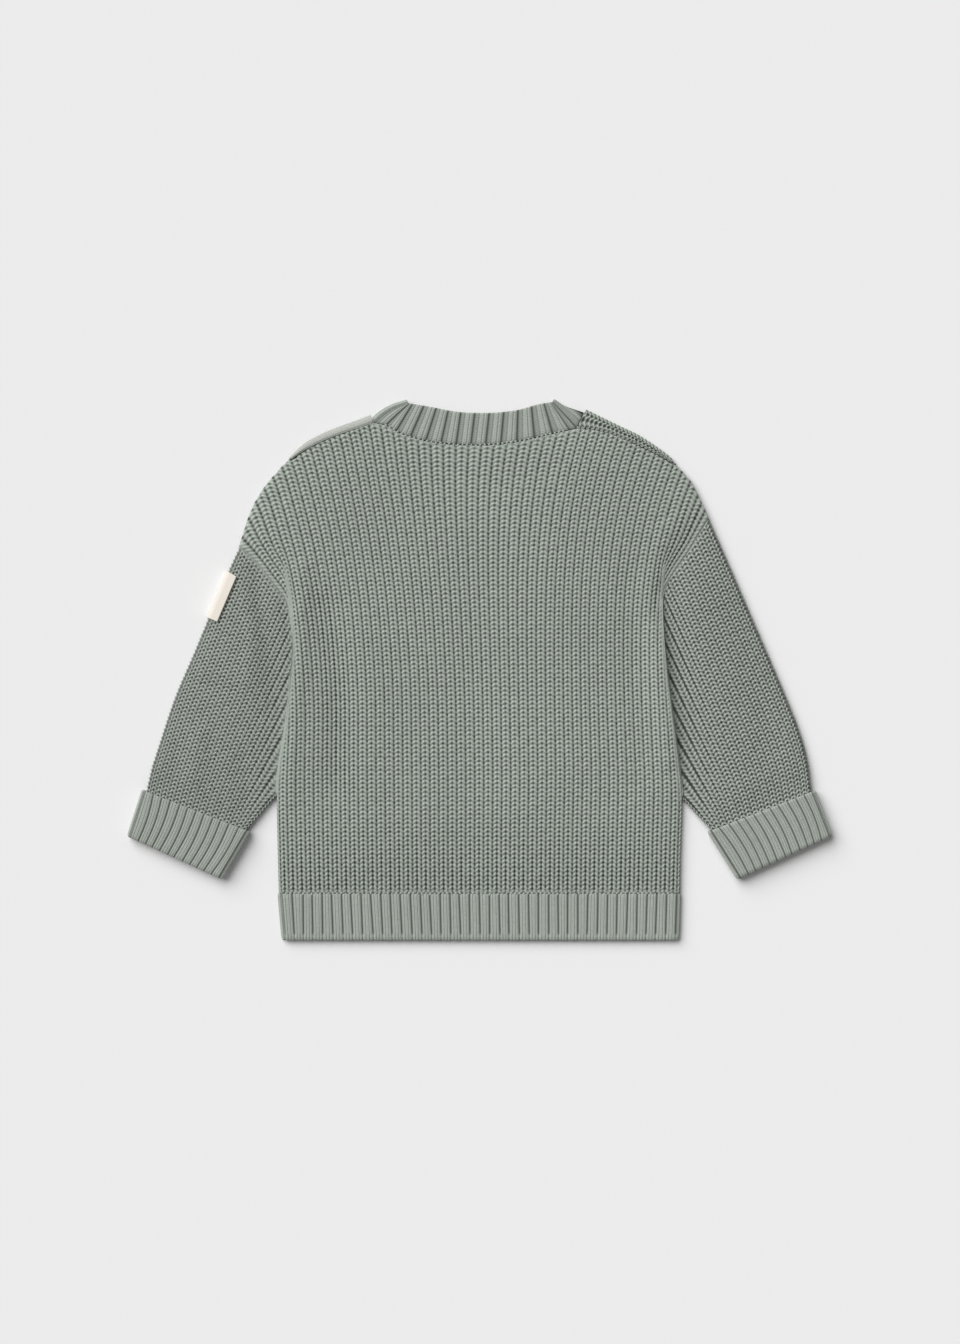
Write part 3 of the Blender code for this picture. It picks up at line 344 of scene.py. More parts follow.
# ---- Creases: ridges stand up, troughs sink ----
DOME = 2.4  # how far the back stands off the front, away from its edges
DOME_REACH = 13.0
CREASE_RUN_OUT = 6.0  # the creases run out over this distance from an edge
BODY_CREASES = (
    Crease(((-116, 66), (-117, 20), (-121, -40), (-124, -84)), 6.5, 1.7),
    Crease(((-100, 40), (-92, -15), (-95, -74)), 10, -1.9),
    Crease(((-78, 30), (-70, -30), (-74, -95)), 13, 0.7),
    Crease(((-120, 96), (-96, 60), (-84, 20)), 16, 0.6),
    Crease(((112, 60), (113, 10), (121, -60)), 6.5, 1.2),
    Crease(((98, 60), (99, 5), (104, -70)), 9, -1),
    Crease(((124, 92), (112, 70), (104, 40)), 7, 0.8),
    Crease(((40, 90), (46, 30), (40, -60)), 22, 0.6),
    Crease(((4, 60), (-6, 0), (2, -70)), 16, -0.6),
    Crease(((70, -60), (20, -92), (-60, -100)), 14, 0.5),
    Crease(((-40, 128), (0, 122), (44, 130)), 10, -0.5),
)
EDGE_FOLDS = (  # the body's side edges, raised over the sleeves
    Crease(((-121.5, 34), (-121.5, 5), (-126.5, -35), (-131, -70)), 7, 1.2),
    Crease(((118.5, 38), (119, 15), (124.5, -30), (130, -70)), 9, 1.7),
    Crease(((118.8, 22), (120, 5), (124.5, -30), (128, -54)), 9, 1.6),
    Crease(((119.5, 8), (121, -4), (124.5, -30), (126, -40)), 9, 1.5),
)
TIGHT_LINES = (  # where the wales are pressed together and their valleys are deep and painted darker as shade
    Crease(((119, 46), (127, 74), (142, 98)), 9, 0.5),
    Crease(((-103, 46), (-94, -10), (-91, -74)), 9, 0.35),
)

# ---- Colours, linear: yarn where the light reaches it, and down in the gaps, where the knits' darker gap colour is painted shade ----
BODY_YARN = Yarn((0.428, 0.478, 0.421), (0.036, 0.046, 0.034))
SLEEVE_YARN = Yarn((0.430, 0.474, 0.423), (0.034, 0.042, 0.032))
RIB_YARN = Yarn((0.384, 0.421, 0.375), (0.074, 0.087, 0.072))
PLACKET_YARN = Yarn((0.445, 0.462, 0.420), (0.28, 0.30, 0.27))
TAPE_YARN = Yarn((0.790, 0.735, 0.665), (0.60, 0.55, 0.48))
FLOOR_COLOUR = (0.84, 0.84, 0.84, 1.0)

SEED = 4


# ---- Plan curves ----
def mix(start, end, share):
    """The value that lies a share of the way from start to end."""
    return start + (end - start) * share


def unit(vector):
    """A vector's direction, or each one's in an array of them."""
    vector = np.asarray(vector, float)
    return vector / np.linalg.norm(vector, axis=-1, keepdims=True)


def smooth_line(points, steps=10):
    """A smooth line through the points, as rows of x and y (Catmull-Rom)."""
    through = np.array(points, float)
    through = np.vstack([2 * through[0] - through[1], through, 2 * through[-1] - through[-2]])
    share = np.linspace(0, 1, steps, endpoint=False)[:, None]
    line = []
    for a, b, c, d in zip(through, through[1:], through[2:], through[3:]):
        line.append(0.5 * (2 * b + (c - a) * share + (2 * a - 5 * b + 4 * c - d) * share ** 2
                           + (3 * b - a - 3 * c + d) * share ** 3))
    return np.vstack(line + [through[-2:-1]])


def reach_along(line):
    """How far along a line each of its points lies."""
    return np.concatenate([[0], np.cumsum(np.linalg.norm(np.diff(line, axis=0), axis=1))])


def read_line(line, at, wanted):
    """A line's points where a value that grows along it has the wanted values."""
    return np.stack([np.interp(wanted, at, line[:, axis]) for axis in range(line.shape[1])], axis=-1)


def along(line, shares):
    """Points at shares of a line's length."""
    reach = reach_along(line)
    return read_line(line, reach, np.asarray(shares, float) * reach[-1])


def left_normals(line):
    """Unit vectors pointing to the left of a line at each of its points."""
    run = unit(np.gradient(line, axis=0))
    return np.stack([-run[:, 1], run[:, 0]], axis=-1)


def distance(points, line):
    """How far each point lies from a line of straight stretches."""
    nearest = np.full(points.shape[:-1], np.inf)
    for start, end in zip(line, line[1:]):
        stretch = end - start
        offset = points - start
        share = np.clip(offset @ stretch / (stretch @ stretch), 0, 1)
        nearest = np.minimum(nearest, np.linalg.norm(offset - share[..., None] * stretch, axis=-1))
    return nearest


def fading(away, reach):
    """From 1 to 0 as a distance grows past a reach."""
    return np.exp(-(away / reach) ** 2)


def eased(share):
    """A share from 0 to 1, slow at both its ends."""
    share = np.clip(share, 0, 1)
    return share ** 2 * (3 - 2 * share)


# ---- The shoulders' edge pieces ----
def shoulder_strip(edge, stations=STRIP_STATIONS):
    """A strip along a shoulder's outer edge: its outer line, its inward normals and its widths."""
    share = np.linspace(0, 1, stations)
    outer = along(smooth_line(edge.outline)[::-1], share * edge.reach)
    return outer, left_normals(outer) * edge.inward_side, np.interp(share, *np.transpose(edge.widths))


def shoulder_seam(edge):
    """The back's edge from the shoulder point up to the neck, keeping off the strip beside it."""
    outer, inward, width = shoulder_strip(edge)
    extra = STRIP_END_CLEARANCE * np.linspace(0, 1, STRIP_STATIONS) ** 4
    beside = outer + inward * (width + GAP + extra)[:, None]
    shares = np.linspace(edge.reach + STRIP_END_GAP, 1, BARE_STATIONS)
    bare = along(smooth_line(edge.outline)[::-1], shares)
    return np.vstack([beside, bare])[::-1]


def back_neck_line():
    """The back's neck seam, from the inner edge of one shoulder's strip to that of the other."""
    left_corner = shoulder_seam(LEFT_EDGE)[-1]
    right_corner = shoulder_seam(RIGHT_EDGE)[-1]
    return smooth_line([left_corner, *BACK_NECK_SEAM, right_corner])


def front_neck_line():
    """The front's neck seam, from just inside one shoulder's outer edge to the other."""
    ends = []
    for edge in (LEFT_EDGE, RIGHT_EDGE):
        outer, inward, _ = shoulder_strip(edge)
        ends.append(outer[0] + inward[0] * FRONT_NECK_INSET)
    return smooth_line([ends[0], *FRONT_NECK_SEAM, ends[1]])


# ---- Stitches ----
def crown(wale):
    """From 0 between two wales to 1 in the middle of one."""
    return 0.5 - 0.5 * np.cos(2 * math.pi * wale)


def chevron(wale):
    """How many courses higher a strand lies than in the middle of a wale."""
    return CHEVRON * eased((1 - crown(wale) - LEG_FROM) / (LEG_TO - LEG_FROM))


def hole(stitch, wale, course, groove):
    """Depth between the strands, from 0 on a stitch's leg to 1 in the deepest holes."""
    here = crown(wale)
    between = crown(course - chevron(wale)) ** HOLE_POWER
    deep = stitch.middle_hole * here ** stitch.middle_focus
    deep += stitch.side_hole * (1 - here) ** stitch.side_focus
    on_valley = (1 - crown(2 * wale)) ** 2
    shallow = mix(stitch.side_valley + groove, stitch.middle_valley, here) * on_valley
    return np.minimum(shallow + deep * between, 1)


def unevenness(wale, course):
    """A factor near 1 that differs from stitch to stitch."""
    table = np.random.default_rng(SEED).uniform(1 - UNEVEN_STITCHES, 1 + UNEVEN_STITCHES, UNEVEN_TABLE)
    across, up = (np.floor(value).astype(int) for value in (2 * wale, course))
    return table[across % UNEVEN_TABLE[0], up % UNEVEN_TABLE[1]]


def knit_relief(stitch, wale, course, plain=0.0, groove=0.0):
    """Height of the knit's surface over its wall; plain is 1 where the stitches have faded out."""
    swell = -2 * STRAND_SWELL * crown(course - chevron(wale))
    depth = HOLE_DEPTH * hole(stitch, wale, course, groove) * unevenness(wale, course)
    return mix(WALE_RISE + swell - depth, PLAIN_HEIGHT, plain)


def rib_profile(wale):
    """Height of a band's ribs, from 0 in a groove to 1 on a broad rib."""
    return 1 - (1 - crown(wale)) ** GROOVE_POWER


def stray(wales, seed, down):
    """How far the groove nearest to each wale strays sideways, from -1 to 1, at a share of its way down."""
    size = math.ceil(np.max(wales)) + 1
    ends = [np.random.default_rng(seed + end).uniform(-1, 1, size) for end in (0, 1)]
    return np.interp(wales, np.arange(size), mix(*ends, down))


def rib_relief(wale, course, rise=RIB_RISE):
    """Height of a ribbed band's surface over its wall."""
    fine = FINE_WALES * wale
    stitch = crown(fine) - 1 - crown(course - chevron(fine))
    return rib_profile(wale) * (rise + RIB_STITCH * stitch)


def chevron_rows(lengths, wales, course):
    """For each column, distances along it at which its points lie, each row following one strand."""
    step = course / POINT_ROWS
    positions = []
    for length, lag in zip(lengths, chevron(wales) * course):
        rows = np.arange(1, math.ceil(length / step)) * step + lag
        positions.append(np.concatenate([[0], rows[rows < length - 0.5 * step], [length]]))
    return positions


# ---- Meshes ----
def add_object(name, data):
    """A new object in the scene."""
    item = bpy.data.objects.new(name, data)
    bpy.context.scene.collection.objects.link(item)
    return item


class ClothMesh:
    """Collects one piece's points, in millimetres, with what its material reads there, and its faces."""

    def __init__(self, name):
        self.name = name
        self.points = []
        self.values = {"wale": [], "course": [], "plain": [], "groove": []}
        self.faces = []
        self.count = 0

    def add(self, points, wale, course, plain=0.0, groove=0.0):
        """Adds an array of points and returns their numbers in the same arrangement."""
        shape = points.shape[:-1]
        size = int(np.prod(shape))
        self.points.append(points.reshape(-1, 3))
        for values, value in zip(self.values.values(), (wale, course, plain, groove)):
            values.append(np.broadcast_to(value, shape).reshape(-1))
        self.count += size
        return np.arange(self.count - size, self.count).reshape(shape)

    def skin(self, table, round_columns=False, round_rows=False):
        """Faces between the neighbouring rows and columns of a table of point numbers."""
        if round_columns:
            table = np.hstack([table, table[:, :1]])
        if round_rows:
            table = np.vstack([table, table[:1]])
        a, b, c, d = table[:-1, :-1], table[:-1, 1:], table[1:, 1:], table[1:, :-1]
        left_ends, right_ends = a == d, b == c
        self.faces += np.stack([a, b, c, d], -1)[~left_ends & ~right_ends].tolist()
        self.faces += np.stack([a, b, c], -1)[left_ends & ~right_ends].tolist()
        self.faces += np.stack([a, b, d], -1)[right_ends & ~left_ends].tolist()

    def zip(self, fine, coarse, is_ring=False):
        """Faces between a line of point numbers and a coarser one beside it."""
        fine = list(dict.fromkeys(fine.tolist()))
        coarse = list(dict.fromkeys(coarse.tolist()))
        if is_ring:
            fine.append(fine[0])
            coarse.append(coarse[0])
        opposite = np.rint(np.linspace(0, len(coarse) - 1, len(fine))).astype(int)
        for i in range(len(fine) - 1):
            corners = [fine[i], fine[i + 1], coarse[opposite[i + 1]], coarse[opposite[i]]]
            self.faces.append(list(dict.fromkeys(corners)))

    def close(self, outer, inner, is_ring=False):
        """Joins an outer and an inner face along their ends, and unless they are rings, their sides."""
        for edge in (0, -1):
            self.zip(outer[edge], inner[edge], is_ring)
            if not is_ring:
                self.zip(outer[:, edge], inner[:, edge])

    def add_tube(self, rings, wale, course, plain=0.0):
        """Adds rings of points as a tube with closed ends."""
        table = self.add(rings, wale, course, plain)
        self.skin(table, round_columns=True)
        self.faces += [table[0].tolist(), table[-1].tolist()]

    def make(self, material, node):
        """The finished object, closed and shaded smooth, attached to the root body, with the solid that it
        stands for hidden.
        """
        mesh = bpy.data.meshes.new(self.name)
        mesh.from_pydata((np.vstack(self.points) * MM).tolist(), [], self.faces)
        for name, parts in self.values.items():
            mesh.attributes.new(name, "FLOAT", "POINT").data.foreach_set("value", np.concatenate(parts))
        bm = bmesh.new()
        bm.from_mesh(mesh)
        bmesh.ops.recalc_face_normals(bm, faces=bm.faces)
        bm.to_mesh(mesh)
        bm.free()
        mesh.shade_smooth()
        mesh.materials.append(material)
        piece = add_object(self.name, mesh)
        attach(piece, "root")
        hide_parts(node)
        return piece


def add_knit_face(cloth, columns, samples, course, row_step, place, form):
    """Adds a face whose rows of points follow its stitches, and returns its table of point numbers.

    Columns starts with each column's share across and ends with its wale. Place gives plan points from
    shares across and rows; form gives points, plain and groove from the columns, rows and courses.
    Shorter columns repeat their last number up to the height of the longest.
    """
    reaches = [reach_along(place(np.full(len(samples), across), samples)) for across in columns[0]]
    positions = chevron_rows([reach[-1] for reach in reaches], columns[-1], course)
    places = [np.append(position[:-1:row_step], position[-1]) for position in positions]
    rows = [np.interp(position, reach, samples) for position, reach in zip(places, reaches)]
    counts = [len(row) for row in rows]
    spread = [np.repeat(values, counts) for values in columns]
    courses = np.concatenate(places) / course
    points, plain, groove = form(*spread, np.concatenate(rows), courses)
    numbers = cloth.add(points, spread[-1], courses, plain, groove)
    height = np.arange(max(counts))
    numbers = np.split(numbers, np.cumsum(counts)[:-1])
    return np.stack([column[np.minimum(height, len(column) - 1)] for column in numbers], axis=1)


def cut(piece, width, length, area, *rests_on):
    """Works out the size of flat cloth a piece was cut to, in metres, and keeps none of it; the piece and
    what it lies on are not used.
    """
    width * MM
    length * MM
    area * MM * MM


def outline_area(outline):
    """Area inside a closed outline, in square millimetres."""
    x, y = outline[:, 0], outline[:, 1]
    return 0.5 * abs(np.sum(x * np.roll(y, -1) - y * np.roll(x, -1)))


# ---- Body ----
class BodyPlan:
    """Plan of a body panel: shares across run from its left edge, rows from the hem to the shoulders."""

    def __init__(self, left_top, neck, right_top):
        table = np.array(BODY_SECTIONS)
        self.left = smooth_line(table[:, :2], SIDE_STEPS)
        self.right = smooth_line(table[:, 2:], SIDE_STEPS)
        self.rows = np.linspace(0, 1, len(self.left))
        self.runs = (smooth_line(LEFT_RUN), smooth_line(RIGHT_RUN))
        self.up = reach_along(self.left) / reach_along(self.left)[-1]
        self.tops = ((left_top, 0, NECK_FIRST_WALE / WALES),
                     (neck, NECK_FIRST_WALE / WALES, NECK_LAST_WALE / WALES),
                     (right_top, NECK_LAST_WALE / WALES, 1))

    def top(self, across):
        """The panel's top edge at shares across: shoulder, neck seam, shoulder."""
        top = np.empty(across.shape + (2,))
        for line, low, high in self.tops:
            here = (across >= low) & (across <= high)
            share = (across[here] - low) / (high - low)
            reach = reach_along(line * [1, SLOPE_SHARE])
            outward = read_line(left_normals(line), reach, share * reach[-1])
            bump = EDGE_BUMP * (crown(across[here] * WALES) - 1) * (4 * share * (1 - share))
            top[here] = read_line(line, reach, share * reach[-1]) + outward * bump[..., None]
        return top

    def pressed(self, across, row):
        """Shares of the way from edge to edge, for shares across between the outermost columns' runs."""
        edges = [np.interp(row, self.rows, edge[:, 0]) for edge in (self.left, self.right)]
        ends = [np.interp(np.interp(row, self.rows, edge[:, 1]), run[:, 1], run[:, 0])
                for edge, run in zip((self.left, self.right), self.runs)]

        def inside(x):
            """How much of the way up to x lies between the edges."""
            past = [np.logaddexp(0, (x - edge) / PRESS) for edge in edges]
            return PRESS * (past[0] - past[1])

        return (inside(mix(*ends, across)) - inside(ends[0])) / (inside(ends[1]) - inside(ends[0]))

    def at(self, across, row):
        """Plan points at shares across and shares up the table of sections."""
        up = np.interp(row, self.rows, self.up)
        left = read_line(self.left, self.rows, row)
        right = read_line(self.right, self.rows, row)
        at_top = self.pressed(across, 1.0)[..., None]
        rise = self.top(across) - mix(self.left[-1], self.right[-1], at_top)
        shares = self.pressed(across, row)[..., None]
        return mix(left, right, shares) + rise * np.stack([up ** FAN_POWER, up], axis=-1)

    def tightness(self, across, row):
        """From 0 where the wales are wide to 1 where they are pressed flat together."""
        here = self.at(across, row)
        beside = self.at(np.abs(across - SMALL_STEP), row) - here
        above = unit(self.at(across, np.abs(row - SMALL_STEP)) - here)
        square = np.abs(beside[..., 0] * above[..., 1] - beside[..., 1] * above[..., 0])
        width = square / (SMALL_STEP * WALES)
        return 1 - np.clip((width - TIGHT_WALE) / (OPEN_WALE - TIGHT_WALE), 0, 1)

    def outline(self):
        """The panel's outline, counted from the hem's left end over the neck to its right end."""
        tops = [line for line, low, high in self.tops]
        return np.vstack([self.left, *[line[1:] for line in tops], self.right[::-1][1:]])

    def side(self, line, low, high):
        """A stretch of a side edge between two rows of the table."""
        return line[low * SIDE_STEPS:high * SIDE_STEPS + 1]


def rolled(away, low, reach):
    """Share of the wall's thickness left at a distance from an edge, where the cloth rolls in."""
    near = np.clip(away / reach, 0, 1)
    return low + (1 - low) * np.sqrt(1 - (1 - near) ** 2)


def crease_height(points, creases):
    """Height that a table of soft ridges and troughs adds at each point."""
    return sum(crease.height * fading(distance(points, smooth_line(crease.line, 3)), crease.spread)
               for crease in creases)


def hem_groove(courses):
    """How much deeper the valleys between wales are near the hem, which also darkens their painted shade."""
    return GROOVE * fading(courses, GROOVE_COURSES)


def make_panel(name, plan, outer, inner, material, node, *rests_on):
    """A knitted panel, cut as its outline: a fine outer face and a coarse inner one.

    Outer gives heights, plain and groove from plan points, wales, courses and how tight the wales are,
    and inner gives heights from plan points.
    """
    def at(across, wales, row, courses):
        return plan.at(across, row), wales, courses, plan.tightness(across, row)

    def fine(*place):
        points, *rest = at(*place)
        height, plain, groove = outer(points, *rest)
        return np.column_stack([points, height]), plain, groove

    def coarse(*place):
        points = at(*place)[0]
        return np.column_stack([points, inner(points)]), 0.0, 0.0

    cloth = ClothMesh(name)
    tables = []
    samples = np.linspace(0, 1, COLUMN_SAMPLES)
    for column_step, row_step, form in ((1, 1, fine), (INNER_COLUMN_STEP, INNER_ROW_STEP, coarse)):
        across = np.arange(0, WALES * POINT_COLUMNS + 1, column_step) / (WALES * POINT_COLUMNS)
        columns = (across, across * WALES)
        tables.append(add_knit_face(cloth, columns, samples, COURSE, row_step, plan.at, form))
        cloth.skin(tables[-1])
    cloth.close(*tables)
    outline = plan.outline()
    cut(cloth.make(material, node), *np.ptp(outline, axis=0), outline_area(outline), *rests_on)


class BackForm:
    """Heights of the back over the surface."""

    def __init__(self):
        self.plan = BodyPlan(shoulder_seam(LEFT_EDGE), back_neck_line(), shoulder_seam(RIGHT_EDGE)[::-1])
        sides = (self.plan.left, self.plan.right)
        shoulders = [smooth_line(line, 4) for line in (LEFT_SHOULDER, RIGHT_SHOULDER)]
        self.free = [self.plan.side(line, 0, UNDERARM_ROW) for line in sides]
        self.free += [line[: len(line) // 2] for line in shoulders]
        self.seams = [self.plan.side(line, UNDERARM_ROW, len(BODY_SECTIONS) - 1) for line in sides]
        self.ends = [np.array([line[0] for line in sides]), back_neck_line()]

    def rim(self, points, lines):
        """How far each point lies from the nearest of some edge lines."""
        return np.min([distance(points, line) for line in lines], axis=0)

    def lift(self, points):
        """How far the back stands off the front."""
        rim = self.rim(points, self.free + self.seams + self.ends)
        creases = crease_height(points, BODY_CREASES) * np.clip(rim / CREASE_RUN_OUT, 0, 1)
        dome = np.maximum(0, DOME * (1 - np.exp(-rim / DOME_REACH)) + creases)
        return dome + crease_height(points, EDGE_FOLDS)

    def thickness(self, points):
        """Share of the wall's thickness at each point."""
        hem, neck = self.ends
        edges = [(line, FREE_EDGE, FREE_TURN) for line in self.free]
        edges += [(line, SEAM_EDGE, SEAM_TURN) for line in self.seams]
        edges += [(neck, NECK_EDGE, NECK_TURN), (hem, HEM_EDGE, HEM_TURN)]
        return np.min([rolled(distance(points, line), low, reach) for line, low, reach in edges], axis=0)

    def outer(self, points, wales, courses, tightness):
        """The knitted face."""
        share = self.thickness(points)
        at_ends = END_PLAIN * fading(self.rim(points, self.ends), END_REACH)
        at_seams = fading(self.rim(points, self.seams), PLAIN_REACH)
        plain = np.max([at_ends, at_seams, tightness], axis=0)
        groove = hem_groove(courses) + crease_height(points, TIGHT_LINES)
        relief = knit_relief(BODY_STITCH, wales, courses, plain, groove)
        return LAYER_Z + self.lift(points) + CLOTH * share + relief * share ** 2, plain, groove

    def inner(self, points):
        """The face towards the front, which comes down to it at the edges."""
        off = np.clip(self.rim(points, self.free + self.seams) / RIM_REACH, 0, 1)
        return LAYER_Z + self.lift(points) * off - RIM_STEP * (1 - off)


def make_back():
    """The back, whose stitches all show."""
    form = BackForm()
    material = knit_material("body knit", BODY_YARN, BODY_STITCH)
    make_panel("back_knit", form.plan, form.outer, form.inner, material, "back_panel", "front_knit")


def make_front():
    """The front, knitted like the back and flat where it lies on the surface."""
    plan = BodyPlan(smooth_line(LEFT_SHOULDER), front_neck_line(), smooth_line(RIGHT_SHOULDER)[::-1])
    rim = plan.outline()[::3]

    def outer(points, wales, courses, tightness):
        share = rolled(distance(points, rim), FREE_EDGE, FREE_TURN)
        groove = hem_groove(courses)
        relief = knit_relief(BODY_STITCH, wales, courses, tightness, groove)
        return CLOTH - (CLOTH - WALE_RISE - FOOT) * share - relief * share ** 2, tightness, groove

    def inner(points):
        off = np.clip(distance(points, rim) / RIM_REACH, 0, 1)
        return CLOTH + RIM_STEP * (1 - off)

    material = knit_material("front knit", BODY_YARN, BODY_STITCH)
    make_panel("front_knit", plan, outer, inner, material, "front_panel")


# ---- Shoulder edges ----
def strip_grid(edge, section, stations):
    """Points of a strip along a shoulder, a row for each station, and how far along each row lies."""
    outer, inward, widths = shoulder_strip(edge, stations)
    share, inset, height = np.transpose(section)
    insets = share * widths[:, None] + inset
    plan = outer[:, None, :] + inward[:, None, :] * insets[..., None]
    return np.dstack([plan, np.broadcast_to(height, insets.shape)]), reach_along(outer)[:, None]


def make_placket():
    """The smooth finished edge along the left shoulder."""
    cloth = ClothMesh("placket_edge")
    grid, reach = strip_grid(LEFT_EDGE, PLACKET_SECTION, PLACKET_STATIONS)
    cloth.add_tube(grid, np.linspace(0, FINE_WALES, grid.shape[1]), reach / RIB_COURSE)
    piece = cloth.make(fine_material("placket knit"), "shoulder_placket")
    length = reach[-1, 0]
    cut(piece, length, PLACKET_CUT, length * PLACKET_SHOWN, "front_knit")


def make_overturn():
    """The front's edge where it rolls over the right shoulder and lies on the back."""
    grid, reach = strip_grid(RIGHT_EDGE, smooth_line(OVERTURN_SECTION, 3), OVERTURN_STATIONS)
    length = reach[-1, 0]
    wales = np.linspace(0, OVERTURN_WALES, grid.shape[1])[None, :]
    courses = np.broadcast_to(reach / COURSE, grid.shape[:2])
    run_out = np.clip((length - reach) / OVERTURN_RUN_OUT, 0, 1)
    normals = unit(np.cross(np.gradient(grid, axis=1), np.gradient(grid, axis=0)))
    relief = (knit_relief(SLEEVE_STITCH, wales, courses) - WALE_RISE) * run_out
    inner = grid - normals * OVERTURN_WALL * np.clip(run_out, OVERTURN_END, 1)[..., None]
    cloth = ClothMesh("front_turned_over")
    outer_table = cloth.add(grid + normals * relief[..., None], wales, courses)
    coarse = (slice(None, None, OVERTURN_ROW_STEP), slice(None, None, OVERTURN_COLUMN_STEP))
    inner_table = cloth.add(inner[coarse], wales[:, coarse[1]], courses[coarse])
    cloth.skin(outer_table)
    cloth.skin(inner_table)
    cloth.close(outer_table, inner_table)
    material = knit_material("turned over knit", BODY_YARN, SLEEVE_STITCH)
    piece = cloth.make(material, "front_panel")
    cut(piece, length, OVERTURN_WIDTH, length * OVERTURN_WIDTH, "back_knit")


# ---- Bands ----
def facing(outward, turn):
    """Unit vectors that have made part of a half turn from up, through outward in plan, to down."""
    angle = np.asarray(turn) * math.pi
    outward = np.asarray(outward)
    return np.concatenate([outward * np.sin(angle)[..., None], np.cos(angle)[..., None]], axis=-1)


def squareness(turn):
    """How much further out than a round fold a squarer one reaches, for half turns from up to down."""
    angle = np.asarray(turn) * math.pi
    return (np.abs(np.sin(angle)) ** 3 + np.abs(np.cos(angle)) ** 3) ** (-1 / 3)


def ring_stations(upper_ribs, lower_ribs):
    """Round a flattened ring: shares across, half turns from up to down, and wales counted on."""
    upper = np.linspace(0, 1, upper_ribs * RIB_COLUMNS + 1)
    lower = np.linspace(1, 0, lower_ribs * RIB_COLUMNS // 2 + 1)
    fold = np.linspace(0, 1, FOLD_COLUMNS + 2)[1:-1]
    across = np.concatenate([upper, np.ones(FOLD_COLUMNS), lower, np.zeros(FOLD_COLUMNS)])
    turns = np.concatenate([np.zeros(len(upper)), fold, np.ones(len(lower)), fold[::-1]])
    wales = np.concatenate([upper * upper_ribs, upper_ribs + fold,
                            upper_ribs + 1 + (1 - lower) * lower_ribs, upper_ribs + lower_ribs + 1 + fold])
    return across, turns, wales


def off_folds(across, ramp):
    """From 0 on a flattened ring's folds to 1 away from them."""
    return np.clip(ramp * across, 0, 1) * np.clip(ramp * (1 - across), 0, 1)


def add_ring(cloth, grid, wales, courses):
    """Adds a band's skin, round the ring and round its section."""
    table = cloth.add(np.array(grid), wales[None, :], np.array(courses))
    cloth.skin(table, round_columns=True, round_rows=True)


def make_neckband():
    """The neckband: a ribbed ring, folded flat at the shoulders, its front half lower than its back."""
    across, turns, wales = ring_stations(NECK_RIBS, FRONT_NECK_RIBS)
    share_across, share_seam, share_edge = smooth_line(NECK_FAN).T
    at_seam = along(back_neck_line(), np.interp(across, share_across, share_seam))
    at_edge = along(smooth_line(BACK_NECK_EDGE), np.interp(across, share_across, share_edge))
    seam = mix(at_seam, along(front_neck_line(), across), turns[:, None])
    edge = mix(at_edge, along(smooth_line(FRONT_NECK_EDGE), across), turns[:, None])
    run = unit(edge - seam)
    folds = np.array([-shoulder_strip(side)[1][0] for side in (LEFT_EDGE, RIGHT_EDGE)])
    normal = facing(folds[np.rint(across).astype(int)], turns)
    depth = np.linalg.norm(edge - seam, axis=1) - NECK_STEP
    strip = NECK_STRIP_SINK / (1 + np.exp((wales % 1 - NECK_STRIP) / NECK_STRIP_BLUR))
    bulge = folds[0] * (NECK_BULGE * fading(across, NECK_BULGE_REACH))[:, None]
    lowest = np.where(turns > 0.5, NECK_RISE, RIB_SETTLE)
    middle = 0.5 * (TUBE_IN + TUBE_OUT)
    rows = round(np.max(depth) / RIB_COURSE * RIB_POINT_ROWS)
    # Round the band's section: share of its depth, step beyond it, distance out, and share of a rib's rise
    section = [(share, 0.0, TUBE_OUT, 1.0) for share in np.linspace(0, 1, rows)]
    for angle in np.linspace(0, math.pi, NECK_ROUND_ROWS)[1:]:
        step, up = NECK_ROUND * math.sin(angle), NECK_ROUND * math.cos(angle)
        section.append((1.0, step, middle + up, math.cos(angle / 2)))
    section += [(share, 0.0, TUBE_IN, 0.0) for share in NECK_INNER_ROWS]
    grid = []
    courses = []
    for share, step, out, rib in section:
        reach = share * (depth - NECK_ROUND)
        courses.append(reach / RIB_COURSE)
        turn_in = 1 - NECK_TURN_IN * np.exp(-reach / NECK_TURN_REACH)
        relief = (rib_relief(wales, courses[-1], NECK_RISE * (1 - strip)) - lowest) * rib * turn_in
        base = seam + run * (NECK_STEP + reach + step)[:, None] + bulge * math.sin(math.pi * share)
        height = (out * (turn_in if rib else 1.0) + relief)[:, None]
        grid.append(np.column_stack([base, np.full(len(base), MIDDLE_Z)]) + normal * height)
    cloth = ClothMesh("ribbed_neckband")
    add_ring(cloth, grid, wales, courses)
    piece = cloth.make(rib_material("neck ribs", NECK_STRIP_SHADE), "neckband")
    length = reach_along(back_neck_line())[-1] + reach_along(front_neck_line())[-1]
    width = float(np.mean(depth))
    cut(piece, length, width, FULL_BAND * length * width, "back_knit")


